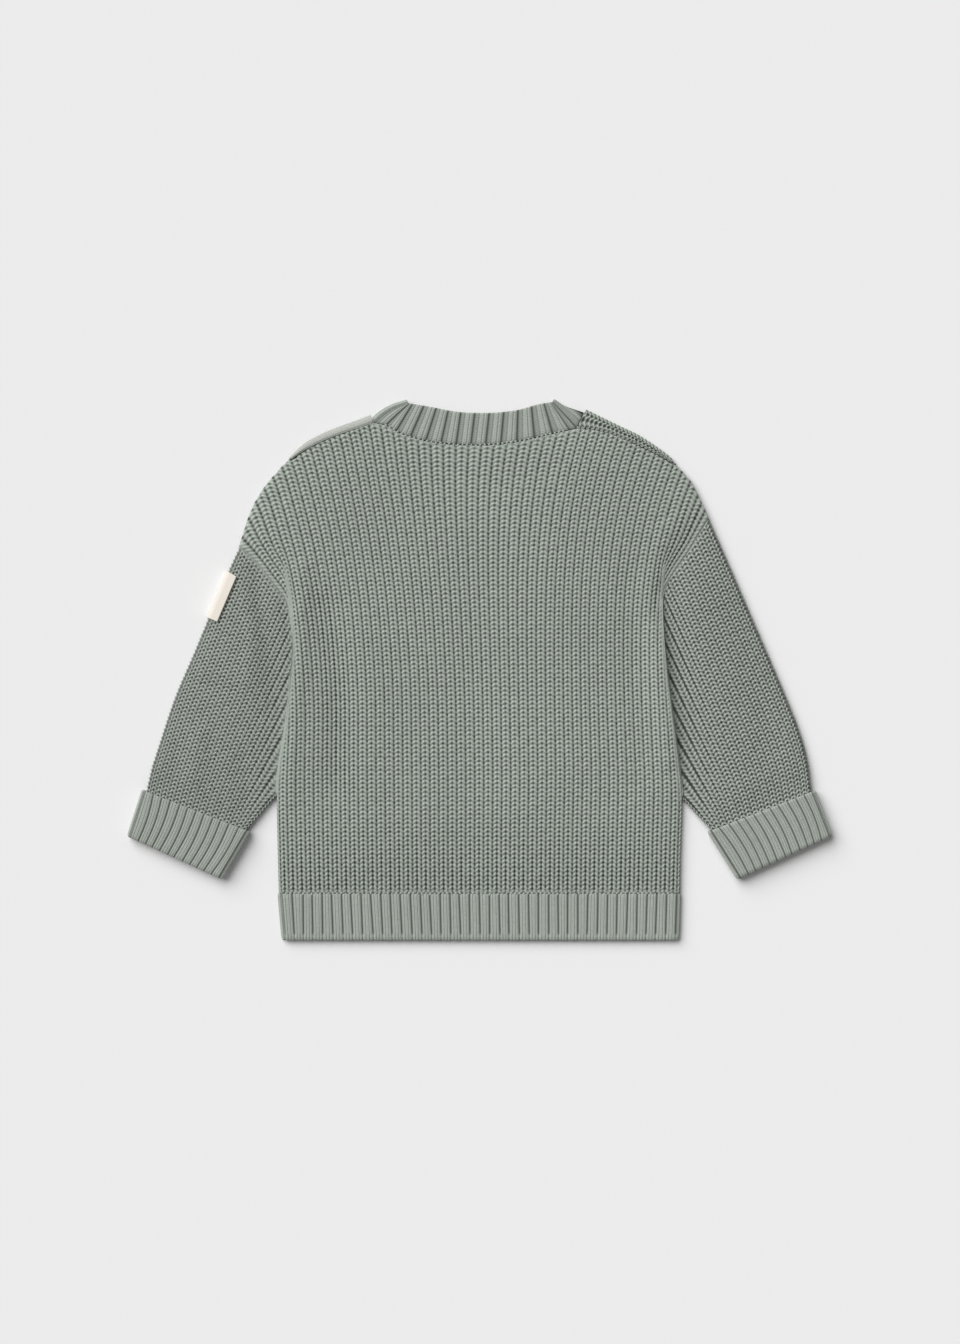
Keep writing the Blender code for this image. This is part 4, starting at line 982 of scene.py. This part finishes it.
def make_hem():
    """The hem band: a flattened ring with ribs all round and a plain cast-off edge."""
    across, turns, wales = ring_stations(HEM_RIBS, HEM_RIBS)
    depth = HEM_TOP[0, 1] - HEM_BOTTOM[0, 1]
    shares = np.linspace(0, 1, round(depth / RIB_COURSE * RIB_POINT_ROWS))
    lean = HEM_LEAN * fading(across - HEM_LEAN_MIDDLE, HEM_LEAN_SPREAD)
    normal = facing(np.where(across[:, None] < 0.5, [[-1.0, 0.0]], [[1.0, 0.0]]), turns)
    fine = crown(FINE_WALES * wales)
    edge = CAST_OFF_RISE + CAST_OFF_BUMP * (fine + rib_profile(wales) - 1)
    outer = []
    inner = []
    plains = []
    for share in shares:
        left, right = mix(HEM_TOP, HEM_BOTTOM, share) + [[TUBE_OUT, 0], [-TUBE_OUT, 0]]
        down = share * depth
        to_end = depth - down
        base = np.column_stack([mix(left, right, across[:, None]), np.full(len(across), MIDDLE_Z)])
        sideways = lean * (share - 0.5) + RIB_WANDER * stray(wales, SEED, share)
        base[:, 0] += off_folds(across, HEM_RAMP) * sideways
        turn_in = 1 - HEM_TURN_IN * math.exp(-down / HEM_TURN_REACH)
        turn_in *= 1 - CAST_OFF_TURN_IN * math.exp(-to_end / HEM_TURN_REACH)
        plain = 1 / (1 + math.exp((to_end - CAST_OFF) / CAST_OFF_BLUR))
        relief = mix(rib_relief(wales, down / RIB_COURSE), edge, plain)
        lowest = np.where(turns > 0.5, RIB_RISE + CAST_OFF_BUMP * plain, HEM_SETTLE)
        reach = TUBE_IN + CLOTH * turn_in + (relief - lowest) * turn_in
        outer.append(base + normal * reach[:, None])
        outer[-1][:, 1] -= HEM_SCALLOP * (rib_profile(wales) + 0.5 * fine) * share ** SCALLOP_POWER
        inner.append(base + normal * TUBE_IN)
        plains.append(np.full(len(across), plain))
    courses = np.broadcast_to((shares * depth / RIB_COURSE)[:, None], (len(shares), len(across)))
    cloth = ClothMesh("ribbed_hem")
    coarse = (slice(None, None, HEM_INNER_ROW_STEP), slice(None, None, HEM_INNER_COLUMN_STEP))
    outer_table = cloth.add(np.array(outer), wales[None, :], courses, np.array(plains))
    inner_table = cloth.add(np.array(inner)[coarse], wales[None, coarse[1]], courses[coarse])
    cloth.skin(outer_table, round_columns=True)
    cloth.skin(inner_table, round_columns=True)
    cloth.close(outer_table, inner_table, is_ring=True)
    piece = cloth.make(rib_material("hem ribs"), "hem_band")
    width = 2 * (HEM_TOP[1, 0] - HEM_TOP[0, 0])
    cut(piece, width, depth, FULL_HEM * width * depth, "front_knit")


def left_of(direction):
    """The direction in plan square to another one, on its left."""
    return np.array([-direction[1], direction[0]])


def make_seam_loops(name, line, loops, node):
    """A row of small uneven loops of yarn where a band is linked to the body."""
    rng = np.random.default_rng(SEED)
    shares = (np.arange(loops) + 0.5) / loops
    reach = reach_along(line)
    runs = unit(read_line(np.gradient(line, axis=0), reach, shares * reach[-1]))
    heights = np.interp(shares, np.linspace(0, 1, len(LOOP_HEIGHTS)), LOOP_HEIGHTS)
    turn = np.linspace(0, 2 * math.pi, LOOP_SIDES, endpoint=False)
    cloth = ClothMesh(name)
    for centre, run, height in zip(along(line, shares), runs, heights):
        size = np.array(LOOP) * rng.uniform(*LOOP_SCALES, 3)
        tilt = rng.uniform(-LOOP_TILT, LOOP_TILT)
        centre = centre + left_of(run) * rng.uniform(-LOOP_SHIFT, LOOP_SHIFT)
        forward = run * math.cos(tilt) + left_of(run) * math.sin(tilt)
        rings = []
        for angle in np.linspace(-0.5, 0.5, LOOP_RINGS + 2)[1:-1] * math.pi:
            wide, far = math.cos(angle), math.sin(angle)
            plan = forward * (np.cos(turn) * wide * size[0])[:, None]
            plan += centre + left_of(forward) * far * size[1]
            rings.append(np.column_stack([plan, height + np.sin(turn) * wide * size[2]]))
        cloth.add_tube(np.array(rings), LEG_WALE, LEG_COURSE, 1.0)
    cloth.make(knit_material(name, BODY_YARN, SLEEVE_STITCH), node)


def make_linking():
    """The rows of loops along the hem seam and the back of the neck seam."""
    make_seam_loops("hem_seam_loops", HEM_TOP + [[LOOPS_INSET, 0], [-LOOPS_INSET, 0]], HEM_LOOPS, "hem_band")
    neck = back_neck_line()[NECK_LOOPS_CLEAR:-NECK_LOOPS_CLEAR]
    make_seam_loops("neck_seam_loops", neck, NECK_LOOPS, "neckband")


def make_seam_cord(side):
    """The closed seam of an armhole: a smooth thin strip of the two edges drawn together."""
    plan = SleevePlan(side)
    line = along(plan.armhole, np.linspace(*CORD_ENDS, CORD_STATIONS)) + plan.seam_gap / 2
    raised = np.minimum(BackForm().lift(line), CORD_LIFT)
    turn = np.linspace(0, 2 * math.pi, CORD_SIDES, endpoint=False)
    flat = line[:, None, :] + left_normals(line)[:, None, :] * (CORD_WIDE * np.cos(turn))[None, :, None]
    heights = (CORD_Z + raised)[:, None] + CORD_HIGH * np.sin(turn)[None, :]
    cloth = ClothMesh("armhole_seam_" + side)
    cloth.add_tube(np.dstack([flat, heights]), LEG_WALE, 0.0, 1.0)
    material = knit_material("armhole seam " + side, BODY_YARN, SLEEVE_STITCH)
    cloth.make(material, "sleeve_" + side)


# ---- Sleeves ----
class SleevePlan:
    """Plan of a sleeve: shares across run from its outer edge to the underarm, down from the armhole."""

    def __init__(self, side):
        sleeve = SLEEVES[side]
        self.cuff = Cuff(*(np.array(corner) for corner in sleeve.cuff))
        line = unit(self.cuff.top_under - self.cuff.top_outer)
        self.down = unit(self.cuff.bottom_outer + self.cuff.bottom_under
                         - self.cuff.top_outer - self.cuff.top_under)
        inset = CUFF_OUT - CUFF_MID + CUFF_CLEARANCE
        to_end = self.down * (CUFF_LIP - GAP)
        self.end_outer = self.cuff.top_outer + line * inset + to_end
        self.end_under = self.cuff.top_under - line * inset + to_end
        self.outer_line = smooth_line([*sleeve.outer_edge, self.end_outer])
        self.sink = sleeve.sink
        self.creases = sleeve.creases
        table = np.array(BODY_SECTIONS)
        columns = slice(0, 2) if side == "left" else slice(2, 4)
        self.armhole = smooth_line(table[:, columns], SIDE_STEPS)[UNDERARM_ROW * SIDE_STEPS:][::-1]
        axis = unit(self.end_outer - self.outer_line[0])
        steps = np.diff(self.armhole, axis=0)
        widths = np.abs(steps[:, 0] * axis[1] - steps[:, 1] * axis[0])
        self.armhole_width = np.concatenate([[0], np.cumsum(widths)])
        self.seam_gap = np.array([-SEAM_STEP if side == "left" else SEAM_STEP, -GAP / 2])

    def armhole_point(self, across):
        """Where a share of the sleeve's width starts on the armhole."""
        return read_line(self.armhole, self.armhole_width, across * self.armhole_width[-1])

    def at(self, across, down):
        """Plan points at shares across and down, two arrays of one shape."""
        top = self.armhole_point(across) + self.seam_gap
        bottom = mix(self.end_outer, self.end_under, across[..., None])
        straight = mix(self.outer_line[0], self.end_outer, down[..., None])
        bow = along(self.outer_line, down) - straight
        return mix(top, bottom, down[..., None]) + bow * (1 - across[..., None])

    def outward(self, edge, down):
        """Directions in plan out of the tube at its outer (0) or underarm (1) fold, at shares down."""
        here = np.full(down.shape, float(edge))
        point = self.at(here, down)
        to_edge = unit(point - self.at(np.abs(here - FOLD_STEP), down))
        lower = self.at(here, np.minimum(down + FOLD_STEP, 1))
        run = unit(lower - self.at(here, np.maximum(down - FOLD_STEP, 0)))
        square = np.stack([-run[..., 1], run[..., 0]], axis=-1)
        square *= np.sign(np.sum(square * to_edge, axis=-1, keepdims=True))
        return unit(mix(to_edge, square, np.minimum(down / FOLD_SETTLE, 1)[..., None]))

    def into_cuff(self, points):
        """From 0 on the open sleeve to 1 where it has risen to enter the cuff."""
        before_end = (self.end_outer - points) @ self.down
        return eased((CUFF_RAMP - before_end) / (CUFF_RAMP - 2 * CUFF_LIP))

    def inset(self, across, down):
        """Plan points pulled in near the folds, so that these fit inside the outline."""
        shift = (self.outward(0, down) * (1 - across[..., None]) ** FOLD_INSET_POWER
                 + self.outward(1, down) * across[..., None] ** FOLD_INSET_POWER)
        return self.at(across, down) - shift * TUBE_OUT


def sleeve_ring():
    """Round a sleeve: shares across, half turns and wales, for each column of points."""
    fold_columns = round(FOLD_WALES * POINT_COLUMNS)
    flat_columns = SLEEVE_WALES * POINT_COLUMNS
    upper = np.linspace(0, 1, flat_columns + 1)
    fold = np.linspace(0, 1, fold_columns + 1)[1:-1]
    across = np.concatenate([upper, np.ones(len(fold)), upper[::-1], np.zeros(len(fold))])
    turns = np.concatenate([np.zeros(len(upper)), fold, np.ones(len(upper)), fold[::-1]])
    wales = np.arange(len(across)) / POINT_COLUMNS
    return across, turns, wales


def sleeve_points(plan, across, turns, wales, down, course, is_outer):
    """Points of a sleeve's outer or inner face, how plain the knit is there and how deep its grooves, whose
    depth also darkens them with painted shade.
    """
    base = plan.inset(across, down)
    entering = plan.into_cuff(base)
    normal = facing(np.where(across[:, None] < 0.5, plan.outward(0, down), plan.outward(1, down)), turns)
    over = turns == 0
    from_seam = distance(base, plan.armhole)
    sunk = plan.sink * fading(from_seam, SINK_SPREAD) * over
    sunk *= np.clip((across - SINK_FROM) * SINK_RAMP, 0, 1)
    settle = mix(SEAM_AIR, 1, 1 - np.exp(-from_seam / SETTLE_REACH))
    air = np.maximum(0, SLEEVE_LIFT * settle + crease_height(base, plan.creases))
    air *= (1 - (2 * across - 1) ** 4) * (1 - sunk) * (1 - entering) * over
    start = np.column_stack([base, mix(MIDDLE_Z, CUFF_OUT, entering)]) + normal * (TUBE_IN + air)[:, None]
    plain = fading(from_seam, PLAIN_REACH) * over * (1 - SINK_STITCHES * plan.sink)
    if not is_outer:
        return start, plain, 0 * plain
    seam = np.where(over, rolled(from_seam, SEAM_EDGE, SEAM_TURN), 1.0) * (1 - SINK_PRESS * sunk)
    wall = mix(CLOTH, CUFF_WALL, entering)
    lowered = WALE_RISE * np.maximum(np.minimum(2 * turns, 1), entering)
    swell = FOLD_SWELL * np.cos(2 * math.pi * course) * np.sin(math.pi * turns)
    # deeper grooves in the sunk crease beside the body are also painted darker, as its shade
    groove = SINK_GROOVE * sunk
    relief = knit_relief(SLEEVE_STITCH, wales, course, plain, groove) - lowered + swell
    reach = wall * seam + relief * seam ** 2 - FOOT * (turns > 0.5)
    return start + normal * reach[:, None], plain, groove


def make_sleeve(side):
    """A sleeve: a flattened knitted tube, its rows counted up from the cuff."""
    plan = SleevePlan(side)
    cloth = ClothMesh("sleeve_knit_" + side)
    samples = np.linspace(1, 0, COLUMN_SAMPLES)
    tables = []
    for column_step, row_step in ((1, 1), (INNER_COLUMN_STEP, INNER_ROW_STEP)):
        def form(*place):
            return sleeve_points(plan, *place, is_outer=row_step == 1)

        columns = [values[::column_step] for values in sleeve_ring()]
        tables.append(add_knit_face(cloth, columns, samples, SLEEVE_COURSE, row_step, plan.inset, form))
        cloth.skin(tables[-1], round_columns=True)
    cloth.close(*tables, is_ring=True)
    material = knit_material("sleeve knit " + side, SLEEVE_YARN, SLEEVE_STITCH)
    piece = cloth.make(material, "sleeve_" + side)
    share = np.linspace(0, 1, SLEEVE_SAMPLES)
    start = np.zeros(SLEEVE_SAMPLES)
    top = plan.at(share, start)
    half = np.vstack([top, plan.at(start + 1, share), plan.at(share[::-1], start + 1),
                      plan.at(start, share[::-1])])
    cut(piece, 2 * reach_along(top)[-1], reach_along(plan.outer_line)[-1], 2 * outline_area(half))


def make_cuff(side):
    """A turned-up cuff: two layers joined by the fold at its end, ribbed on both sides."""
    cuff = SleevePlan(side).cuff
    across, turns, wales = ring_stations(CUFF_RIBS, CUFF_RIBS)
    length = np.linalg.norm(cuff.bottom_outer - cuff.top_outer)
    rows = round((length - CUFF_FACE_LESS) / RIB_COURSE * RIB_POINT_ROWS)
    upper_end, lower_end = (end + step / length for end, step in CUFF_FACE)
    section = [(down, CUFF_OUT, 1.0) for down in np.linspace(upper_end, lower_end, rows)]
    section += [(end + step / length, out, rib) for end, step, out, rib in CUFF_FOLD]
    lowest = np.where(turns > 0.5, CUFF_RISE, RIB_SETTLE)
    grid = []
    courses = []
    for down, out, rib in section:
        outer = mix(cuff.top_outer, cuff.bottom_outer, down)
        under = mix(cuff.top_under, cuff.bottom_under, down)
        line = unit(under - outer)
        side_inset = line * CUFF_NARROW * CUFF_OUT
        base = mix(outer + side_inset, under - side_inset, across[:, None])
        inside = min(max(down, 0.0), 1.0)
        bow = math.copysign(CUFF_BOW, line[0]) * math.sin(math.pi * inside)
        sideways = (CUFF_WANDER * stray(wales, SEED + 2, inside) + bow) * off_folds(across, CUFF_FOLD_RAMP)
        base += line * sideways[:, None]
        outward = np.where(across[:, None] < 0.5, -line, line) * CUFF_NARROW
        course = down * length / RIB_COURSE
        relief = (rib_relief(wales, course, CUFF_RISE) - lowest) * rib
        reach = (out + relief) * squareness(turns)
        grid.append(np.column_stack([base, np.full(len(base), CUFF_OUT)])
                    + facing(outward, turns) * reach[:, None])
        courses.append(np.full(len(base), course))
    cloth = ClothMesh("ribbed_cuff_" + side)
    add_ring(cloth, grid, wales, courses)
    piece = cloth.make(rib_material("cuff ribs " + side), "cuff_" + side)
    width = 2 * np.linalg.norm(cuff.top_under - cuff.top_outer)
    cut(piece, width, 2 * length, FULL_BAND * width * 2 * length)


# ---- Label ----
def make_label():
    """The woven label that wraps round the left sleeve's outer fold, with nothing on it."""
    plan = SleevePlan("left")
    down = np.linspace(LABEL_FROM, LABEL_TO, LABEL_STATIONS)
    outward = plan.outward(0, down)
    edge = plan.at(np.zeros(LABEL_STATIONS), down) - outward * TUBE_OUT
    base = np.column_stack([edge, np.full(LABEL_STATIONS, MIDDLE_Z)])
    to_end = np.column_stack([outward, np.zeros(LABEL_STATIONS)]) * (LABEL_WIDTH - TUBE_OUT)
    faces = []
    for clear in (TUBE_OUT + LABEL_CLEAR, TUBE_OUT + LABEL_CLEAR + LABEL_WALL):
        face = []
        for share in np.linspace(1, 0, LABEL_FLAT_ROWS):
            face.append(base - to_end * share + [0, 0, clear + mix(LABEL_FOLD_RISE, LABEL_RISE, share)])
        for turn in np.linspace(0, LABEL_TURN, LABEL_FOLD_ROWS + 1)[1:]:
            rise = LABEL_FOLD_RISE * max(0, 1 - 2 * turn) ** 1.5
            face.append(base + [0, 0, rise] + facing(outward, np.full(LABEL_STATIONS, turn)) * clear)
        faces.append(face)
    grid = np.array(faces[0] + faces[1][::-1]).transpose(1, 0, 2)
    cloth = ClothMesh("blank_label")
    cloth.add_tube(grid, np.linspace(0, 1, grid.shape[1]), down[:, None] * LABEL_COURSES)
    piece = cloth.make(tape_material("label tape"), "sleeve_label")
    length = reach_along(base)[-1]
    width = reach_along(grid[0, :LABEL_FLAT_ROWS + LABEL_FOLD_ROWS])[-1]
    cut(piece, width, length, width * length, "sleeve_knit_left")


# ---- Materials ----
# How much the fibres count in the tone and in the height, the depth of that height in millimetres, the
# strength of the bump, and the shader's roughness and sheen
Surface = namedtuple("Surface", "fibre_tone fibre_height depth bump roughness sheen")
KNIT_SURFACE = Surface(0.5, 0.35, 0.9, 0.7, 0.92, 0.25)
RIB_SURFACE = Surface(0.4, 0.3, 0.35, 0.7, 0.9, 0.3)
FINE_SURFACE = Surface(0.0, 0.5, 0.25, 0.6, 0.9, 0.3)
TAPE_SURFACE = Surface(0.0, 1.0, 0.12, 0.5, 0.8, 0.2)
SPECULAR, SHEEN_ROUGHNESS = 0.2, 0.6
COARSE_SHARE, FUZZ_SHARE = 0.6, 0.4  # how much threads and how much fuzz count in the fibres
PLY_SCALE, FUZZ_SCALE, TAPE_FUZZ_SCALE = 7.0, 1500.0, 1800.0  # waves a unit of stitches, or a metre
SLOW_SCALE, SLOW_TONE = 14.0, 0.16  # slow changes of tone, as from washing
SPECKLE_SCALE, SPECKLE_TONE, LEAST_TONE = 850.0, 0.50, 0.67  # the speckle of heathered yarn
UNEVEN_SCALE, UNEVEN_DEPTH, LEAST_DEPTH = 0.9, 0.7, 0.65  # how the painted shade in the holes differs
FINE_HOLE_SHADE, FINE_KNIT_SHADE, TAPE_SHADE = 0.58, 0.8, 0.5
STRIP_BLUR = 0.06  # half width of the change of tone at the neckband's lower strips
WEAVE_SCALE = 900.0


class Value:
    """The result of a material's node. Arithmetic with it adds nodes."""

    def __init__(self, socket):
        self.socket = socket
        self.tree = socket.id_data

    def math(self, operation, *others):
        return add_node(self.tree, "ShaderNodeMath", dict(enumerate((self, *others))), operation=operation)

    def __add__(self, other):
        return self.math("ADD", other)

    def __mul__(self, other):
        return self.math("MULTIPLY", other)

    def __sub__(self, other):
        return self.math("SUBTRACT", other)

    def __pow__(self, power):
        return self.math("POWER", power)

    def rest(self):
        """What is left up to 1."""
        return self * -1.0 + 1.0

    def wave(self):
        """From 0 at whole numbers to 1 halfway between them."""
        return (self * (2 * math.pi)).math("COSINE") * -0.5 + 0.5

    def step(self, start, end, height):
        """A smooth step from 0 up to a height, made from start to end."""
        inputs = {"Value": self, "From Min": start, "From Max": end, "To Max": height}
        return add_node(self.tree, "ShaderNodeMapRange", inputs, "Result", interpolation_type="SMOOTHSTEP")


def feed(socket, value):
    """Links a socket to a value, or sets it."""
    if isinstance(value, Value):
        value.tree.links.new(value.socket, socket)
    else:
        socket.default_value = value


def add_node(tree, kind, inputs, output=0, **settings):
    """Adds a node and gives the value of one of its outputs."""
    node = tree.nodes.new(kind)
    for name, setting in settings.items():
        setattr(node, name, setting)
    for name, value in inputs.items():
        feed(node.inputs[name], value)
    return Value(node.outputs[output])


class Recipe:
    """Adds nodes to a new material; each call gives the value of its result."""

    def __init__(self, name):
        self.material = bpy.data.materials.new(name)
        self.material.use_nodes = True
        self.tree = self.material.node_tree

    def read(self, name):
        """A value that the mesh holds at each point."""
        return add_node(self.tree, "ShaderNodeAttribute", {}, "Fac", attribute_name=name)

    def place(self):
        """The place on the object, in metres."""
        return add_node(self.tree, "ShaderNodeTexCoord", {}, "Object")

    def noise(self, scale, detail, roughness, place):
        """Noise from 0 to 1."""
        inputs = {"Vector": place, "Scale": scale, "Detail": detail, "Roughness": roughness}
        return add_node(self.tree, "ShaderNodeTexNoise", inputs, "Fac")

    def in_stitches(self, wale, course):
        """The place counted in stitches."""
        return add_node(self.tree, "ShaderNodeCombineXYZ", {0: wale * 2.0, 1: course})

    def scaled(self, colour, factor):
        """A colour made lighter or darker by a factor."""
        return add_node(self.tree, "ShaderNodeVectorMath", {0: colour, "Scale": factor}, operation="SCALE")

    def blend(self, share, first, second):
        """A colour between two others."""
        node = self.tree.nodes.new("ShaderNodeMix")
        node.data_type = "RGBA"
        feed(node.inputs["Factor"], share)
        colours = [socket for socket in node.inputs if socket.type == "RGBA"]
        for socket, colour in zip(colours, (first, second)):
            feed(socket, (*colour, 1.0))
        return Value([socket for socket in node.outputs if socket.type == "RGBA"][0])

    def worn(self, colour):
        """Slow changes of tone over the cloth, and speckles."""
        slow = self.noise(SLOW_SCALE, 3.0, 0.5, self.place())
        speckle = self.noise(SPECKLE_SCALE, 2.0, 0.6, self.place())
        return self.scaled(colour, slow * SLOW_TONE + (speckle * SPECKLE_TONE + LEAST_TONE))

    def finish(self, surface, colour, height):
        """Sets the shader from a colour and a height of 0 to 1, and gives the material."""
        inputs = {"Height": height, "Distance": surface.depth * MM, "Strength": surface.bump}
        shader = self.tree.nodes["Principled BSDF"].inputs
        feed(shader["Base Color"], colour)
        feed(shader["Normal"], add_node(self.tree, "ShaderNodeBump", inputs))
        feed(shader["Roughness"], surface.roughness)
        feed(shader["Specular IOR Level"], SPECULAR)
        feed(shader["Sheen Weight"], surface.sheen)
        feed(shader["Sheen Roughness"], SHEEN_ROUGHNESS)
        return self.material

    def yarn(self, surface, yarn, shade, holes, wale, course):
        """Finishes a knit, its colour painted with shade from 0, a strand, to 1, a gap, with fibres that
        follow the yarn.
        """
        ply = self.noise(PLY_SCALE, 3.0, 0.6, self.in_stitches(wale, course))
        fuzz = self.noise(FUZZ_SCALE, 3.0, 0.6, self.place())
        fibres = ply * COARSE_SHARE + fuzz * FUZZ_SHARE
        tone = fibres * surface.fibre_tone + (1 - surface.fibre_tone / 2)
        colour = self.scaled(self.blend(shade, *yarn), tone)
        return self.finish(surface, self.worn(colour), fibres * surface.fibre_height - holes)


def hole_nodes(stitch, wale, course, groove=None):
    """The same holes as in the mesh, worked out for each point of the surface; their depth also sets the
    painted shade.
    """
    here = wale.wave()
    aside = here.rest()
    between = (course - aside.step(LEG_FROM, LEG_TO, CHEVRON)).wave() ** HOLE_POWER
    deep = here ** stitch.middle_focus * stitch.middle_hole + aside ** stitch.side_focus * stitch.side_hole
    side_valley = aside * (groove + stitch.side_valley if groove else stitch.side_valley)
    on_valley = (wale * 2.0).wave().rest() ** 2.0
    shallow = (here * stitch.middle_valley + side_valley) * on_valley
    return (deep * between + shallow).math("MINIMUM", 1.0)


def knit_material(name, yarn, stitch):
    """Chunky knit: light strands with painted shade darkening the gaps between them, fading to plain fabric
    at a seam.
    """
    recipe = Recipe(name)
    wale, course, plain = recipe.read("wale"), recipe.read("course"), recipe.read("plain")
    uneven = recipe.noise(UNEVEN_SCALE, 1.0, 0.5, recipe.in_stitches(wale, course))
    holes = hole_nodes(stitch, wale, course, recipe.read("groove"))
    holes = holes * (uneven * UNEVEN_DEPTH + LEAST_DEPTH) * plain.rest()
    return recipe.yarn(KNIT_SURFACE, yarn, plain * PLAIN_SHADE + holes, holes, wale, course)


def rib_material(name, strip_shade=0.0):
    """Ribbed knit: broad ribs of fine stitches with narrow grooves and fine holes darkened by painted shade,
    and a plain cast-off edge.
    """
    recipe = Recipe(name)
    wale, course = recipe.read("wale"), recipe.read("course")
    # painted shade in the grooves between ribs, none on the plain cast-off edge
    groove = wale.wave().rest() ** GROOVE_POWER * recipe.read("plain").rest()
    holes = hole_nodes(FINE_STITCH, wale * float(FINE_WALES), course)
    shade = groove.math("MAXIMUM", holes * FINE_HOLE_SHADE)
    if strip_shade:
        edges = (NECK_STRIP - STRIP_BLUR, NECK_STRIP + STRIP_BLUR)
        shade = shade.math("MAXIMUM", wale.math("FRACT").step(*edges, -strip_shade) + strip_shade)
    return recipe.yarn(RIB_SURFACE, RIB_YARN, shade, holes, wale, course)


def fine_material(name):
    """Smooth fine knit, its holes darkened by painted shade."""
    recipe = Recipe(name)
    wale, course = recipe.read("wale"), recipe.read("course")
    holes = hole_nodes(FINE_STITCH, wale, course)
    return recipe.yarn(FINE_SURFACE, PLACKET_YARN, holes * FINE_KNIT_SHADE, holes, wale, course)


def tape_material(name):
    """Plain woven cotton tape."""
    recipe = Recipe(name)
    weave_inputs = {"Vector": recipe.place(), "Scale": WEAVE_SCALE}
    weave = add_node(recipe.tree, "ShaderNodeTexWave", weave_inputs, "Fac", bands_direction="Y")
    fuzz = recipe.noise(TAPE_FUZZ_SCALE, 2.0, 0.6, recipe.place())
    threads = weave * COARSE_SHARE + fuzz * FUZZ_SHARE
    return recipe.finish(TAPE_SURFACE, recipe.blend(threads * TAPE_SHADE, *TAPE_YARN), threads)


# ---- Stage ----
PIXEL = 0.65  # millimetres to a pixel of the photo
FRAME_WIDTH, FRAME_HEIGHT = 960, 1344
MIDDLE_X_PIXEL, MIDDLE_Y_PIXEL = 480, 670  # pixel over the middle of the garment's outline
LENS = 100.0
SENSOR = 36.0
SUN_STRENGTH = 3.39
SUN_ANGLE = 56.0
SUN_DIRECTION = (0.70, -0.75, -1.0)
SKY_STRENGTH = 0.24
FLOOR_SIZE = 6.0  # metres
FLOOR_DROP = 0.1


def make_camera():
    """The camera, straight above, framed as the photo is."""
    data = bpy.data.cameras.new("camera")
    data.lens = LENS
    data.sensor_width = SENSOR
    camera = add_object("camera", data)
    height = FRAME_HEIGHT * PIXEL * LENS / SENSOR
    x = (FRAME_WIDTH / 2 - MIDDLE_X_PIXEL) * PIXEL
    y = (MIDDLE_Y_PIXEL - FRAME_HEIGHT / 2) * PIXEL
    camera.location = (x * MM, y * MM, (height + MIDDLE_Z) * MM)
    bpy.context.scene.camera = camera


def make_floor():
    """A pale floor that reaches past every view."""
    bm = bmesh.new()
    bmesh.ops.create_grid(bm, x_segments=1, y_segments=1, size=FLOOR_SIZE)
    mesh = bpy.data.meshes.new("floor")
    bm.to_mesh(mesh)
    bm.free()
    material = bpy.data.materials.new("floor")
    material.use_nodes = True
    shader = material.node_tree.nodes["Principled BSDF"].inputs
    feed(shader["Base Color"], FLOOR_COLOUR)
    feed(shader["Roughness"], 1.0)
    feed(shader["Specular IOR Level"], 0.0)
    mesh.materials.append(material)
    floor = add_object("floor", mesh)
    floor.location.z = -FLOOR_DROP * MM


def make_lights():
    """A broad soft light from the upper left over an even sky."""
    data = bpy.data.lights.new("key", "SUN")
    data.energy = SUN_STRENGTH
    data.angle = math.radians(SUN_ANGLE)
    light = add_object("key", data)
    light.rotation_euler = Vector(SUN_DIRECTION).to_track_quat("-Z", "Y").to_euler()
    world = bpy.data.worlds.new("sky")
    world.use_nodes = True
    background = world.node_tree.nodes["Background"].inputs
    feed(background["Color"], (1.0, 1.0, 1.0, 1.0))
    feed(background["Strength"], SKY_STRENGTH)
    bpy.context.scene.world = world
    bpy.context.scene.view_settings.view_transform = "Standard"


make_camera()
make_floor()
make_lights()
make_front()
make_back()
make_placket()
make_overturn()
make_neckband()
make_hem()
make_linking()
for side in SLEEVES:
    make_sleeve(side)
    make_cuff(side)
    make_seam_cord(side)
make_label()
